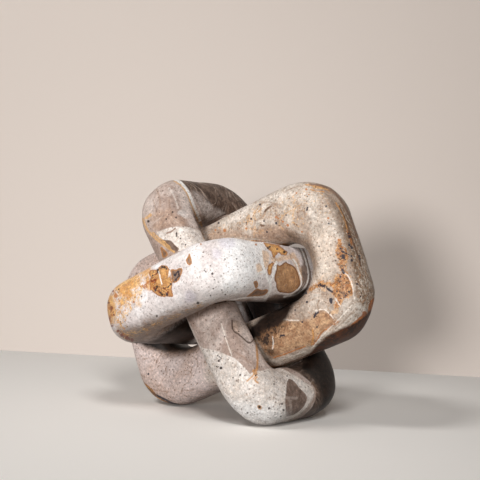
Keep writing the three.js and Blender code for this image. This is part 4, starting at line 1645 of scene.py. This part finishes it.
def stage_sheet(name, corners, material):
    """A flat sheet of the stage, with its corners in order."""
    mesh = bpy.data.meshes.new(name)
    mesh.from_pydata(corners, [], [range(len(corners))])
    mesh.materials.append(material)
    piece = new_object(name, mesh)
    return piece


FLOOR_REACH = 4.0
WALL_HEIGHT = 2.5

# The spot's cone, how much of it is its soft rim, and how much more power it takes than a disk for the
# same light
SPOT_CONE = math.radians(27)
SPOT_RIM = 0.8
SPOT_POWER = 4

# Each lamp's kind, the setting of its strength, its direction from the knot, and its distance and size
LAMPS = {
    "key_lamp": ("AREA", "key_strength", (-0.32, -0.94, 0.12), 2.2, 0.45),
    "fill_lamp": ("SPOT", "fill_strength", (0.12, -0.75, 0.65), 2.0, 0.25),
    "top_lamp": ("AREA", "top_strength", (-0.55, -0.40, 0.74), 2.0, 0.5),
}


class KNOT_OT_stage(bpy.types.Operator):
    """Make the floor, the wall, the lamps, the even light and the camera"""

    bl_idname = "knot.stage"
    bl_label = "Stage"

    def execute(self, context):
        scene = context.scene
        stage = scene.knot_stage
        scene.view_settings.view_transform = "Standard"
        floor = plain_surface("floor_paint", stage.floor_colour)
        reach = FLOOR_REACH
        corners = [(-reach, -reach, 0), (reach, -reach, 0), (reach, reach, 0), (-reach, reach, 0)]
        stage_sheet("floor", corners, floor)
        wall = plain_surface("wall_paint", stage.wall_colour, True)
        slope = math.tan(stage.wall_turn)
        left = (-reach, stage.wall_distance - reach * slope, 0)
        right = (reach, stage.wall_distance + reach * slope, 0)
        top_left, top_right = ((x, y, WALL_HEIGHT) for x, y, _ in (left, right))
        stage_sheet("wall", [left, right, top_right, top_left], wall)
        self.light(scene, stage)
        point, turned = photo_camera()
        lens = bpy.data.cameras.new("photo_camera")
        lens.lens = stage.lens
        lens.sensor_width = SENSOR_WIDTH
        camera = new_object("photo_camera", lens)
        camera.matrix_world = Matrix.Translation(point) @ turned.to_4x4()
        scene.camera = camera
        return {"FINISHED"}

    def light(self, scene, stage):
        """The lamps, aimed at the middle of the knot, and the even light."""
        target = Vector((0, 0, CAD_BOX[1][2] / 2))
        for name, (kind, strength, direction, distance, size) in LAMPS.items():
            lamp = bpy.data.lights.new(name, kind)
            lamp.energy = getattr(stage, strength) * math.pi ** 2 * distance ** 2
            if kind == "AREA":
                lamp.shape = "DISK"
                lamp.size = size
            else:
                lamp.energy *= SPOT_POWER
                lamp.shadow_soft_size = size
                lamp.spot_size = SPOT_CONE
                lamp.spot_blend = SPOT_RIM
            out = Vector(direction).normalized()
            placed = new_object(name, lamp)
            turned = out.to_track_quat("Z", "Y").to_matrix().to_4x4()
            placed.matrix_world = Matrix.Translation(target + out * distance) @ turned
        world = bpy.data.worlds.new("even_light")
        world.use_nodes = True
        world.node_tree.nodes.clear()
        graph = Graph(world.node_tree)
        white = (1.0, 1.0, 1.0, 1.0)
        sky = graph.node("ShaderNodeBackground", None, {"Color": white, "Strength": stage.sky_strength})
        graph.node("ShaderNodeOutputWorld", None, {"Surface": sky})
        scene.world = world


class KNOT_PT_panel(bpy.types.Panel):
    """Sidebar list of the knot's pieces"""

    bl_idname = "KNOT_PT_panel"
    bl_label = "Marble Knot"
    bl_space_type = "VIEW_3D"
    bl_region_type = "UI"
    bl_category = "Knot"

    def draw(self, context):
        for operator in OPERATORS:
            self.layout.operator(operator.bl_idname)
        for group in GROUPS:
            box = self.layout.box()
            box.label(text=group.replace("knot_", "").title())
            settings = getattr(context.scene, group)
            for name in settings.__annotations__:
                box.prop(settings, name)


OPERATORS = (KNOT_OT_leaning_link, KNOT_OT_upright_link, KNOT_OT_level_link, KNOT_OT_stage)
GROUPS = {
    "knot_leaning": LeaningLinkSettings,
    "knot_upright": UprightLinkSettings,
    "knot_level": LevelLinkSettings,
    "knot_stage": StageSettings,
}


def register():
    for made in (*GROUPS.values(), *OPERATORS, KNOT_PT_panel):
        bpy.utils.register_class(made)
    for name, group in GROUPS.items():
        setattr(bpy.types.Scene, name, PointerProperty(type=group))


def unregister():
    for name in GROUPS:
        delattr(bpy.types.Scene, name)
    for made in reversed((*GROUPS.values(), *OPERATORS, KNOT_PT_panel)):
        bpy.utils.unregister_class(made)


def main():
    register()
    bpy.ops.knot.leaning_link()
    bpy.ops.knot.upright_link()
    bpy.ops.knot.level_link()
    bpy.ops.knot.stage()


if __name__ == "__main__":
    main()
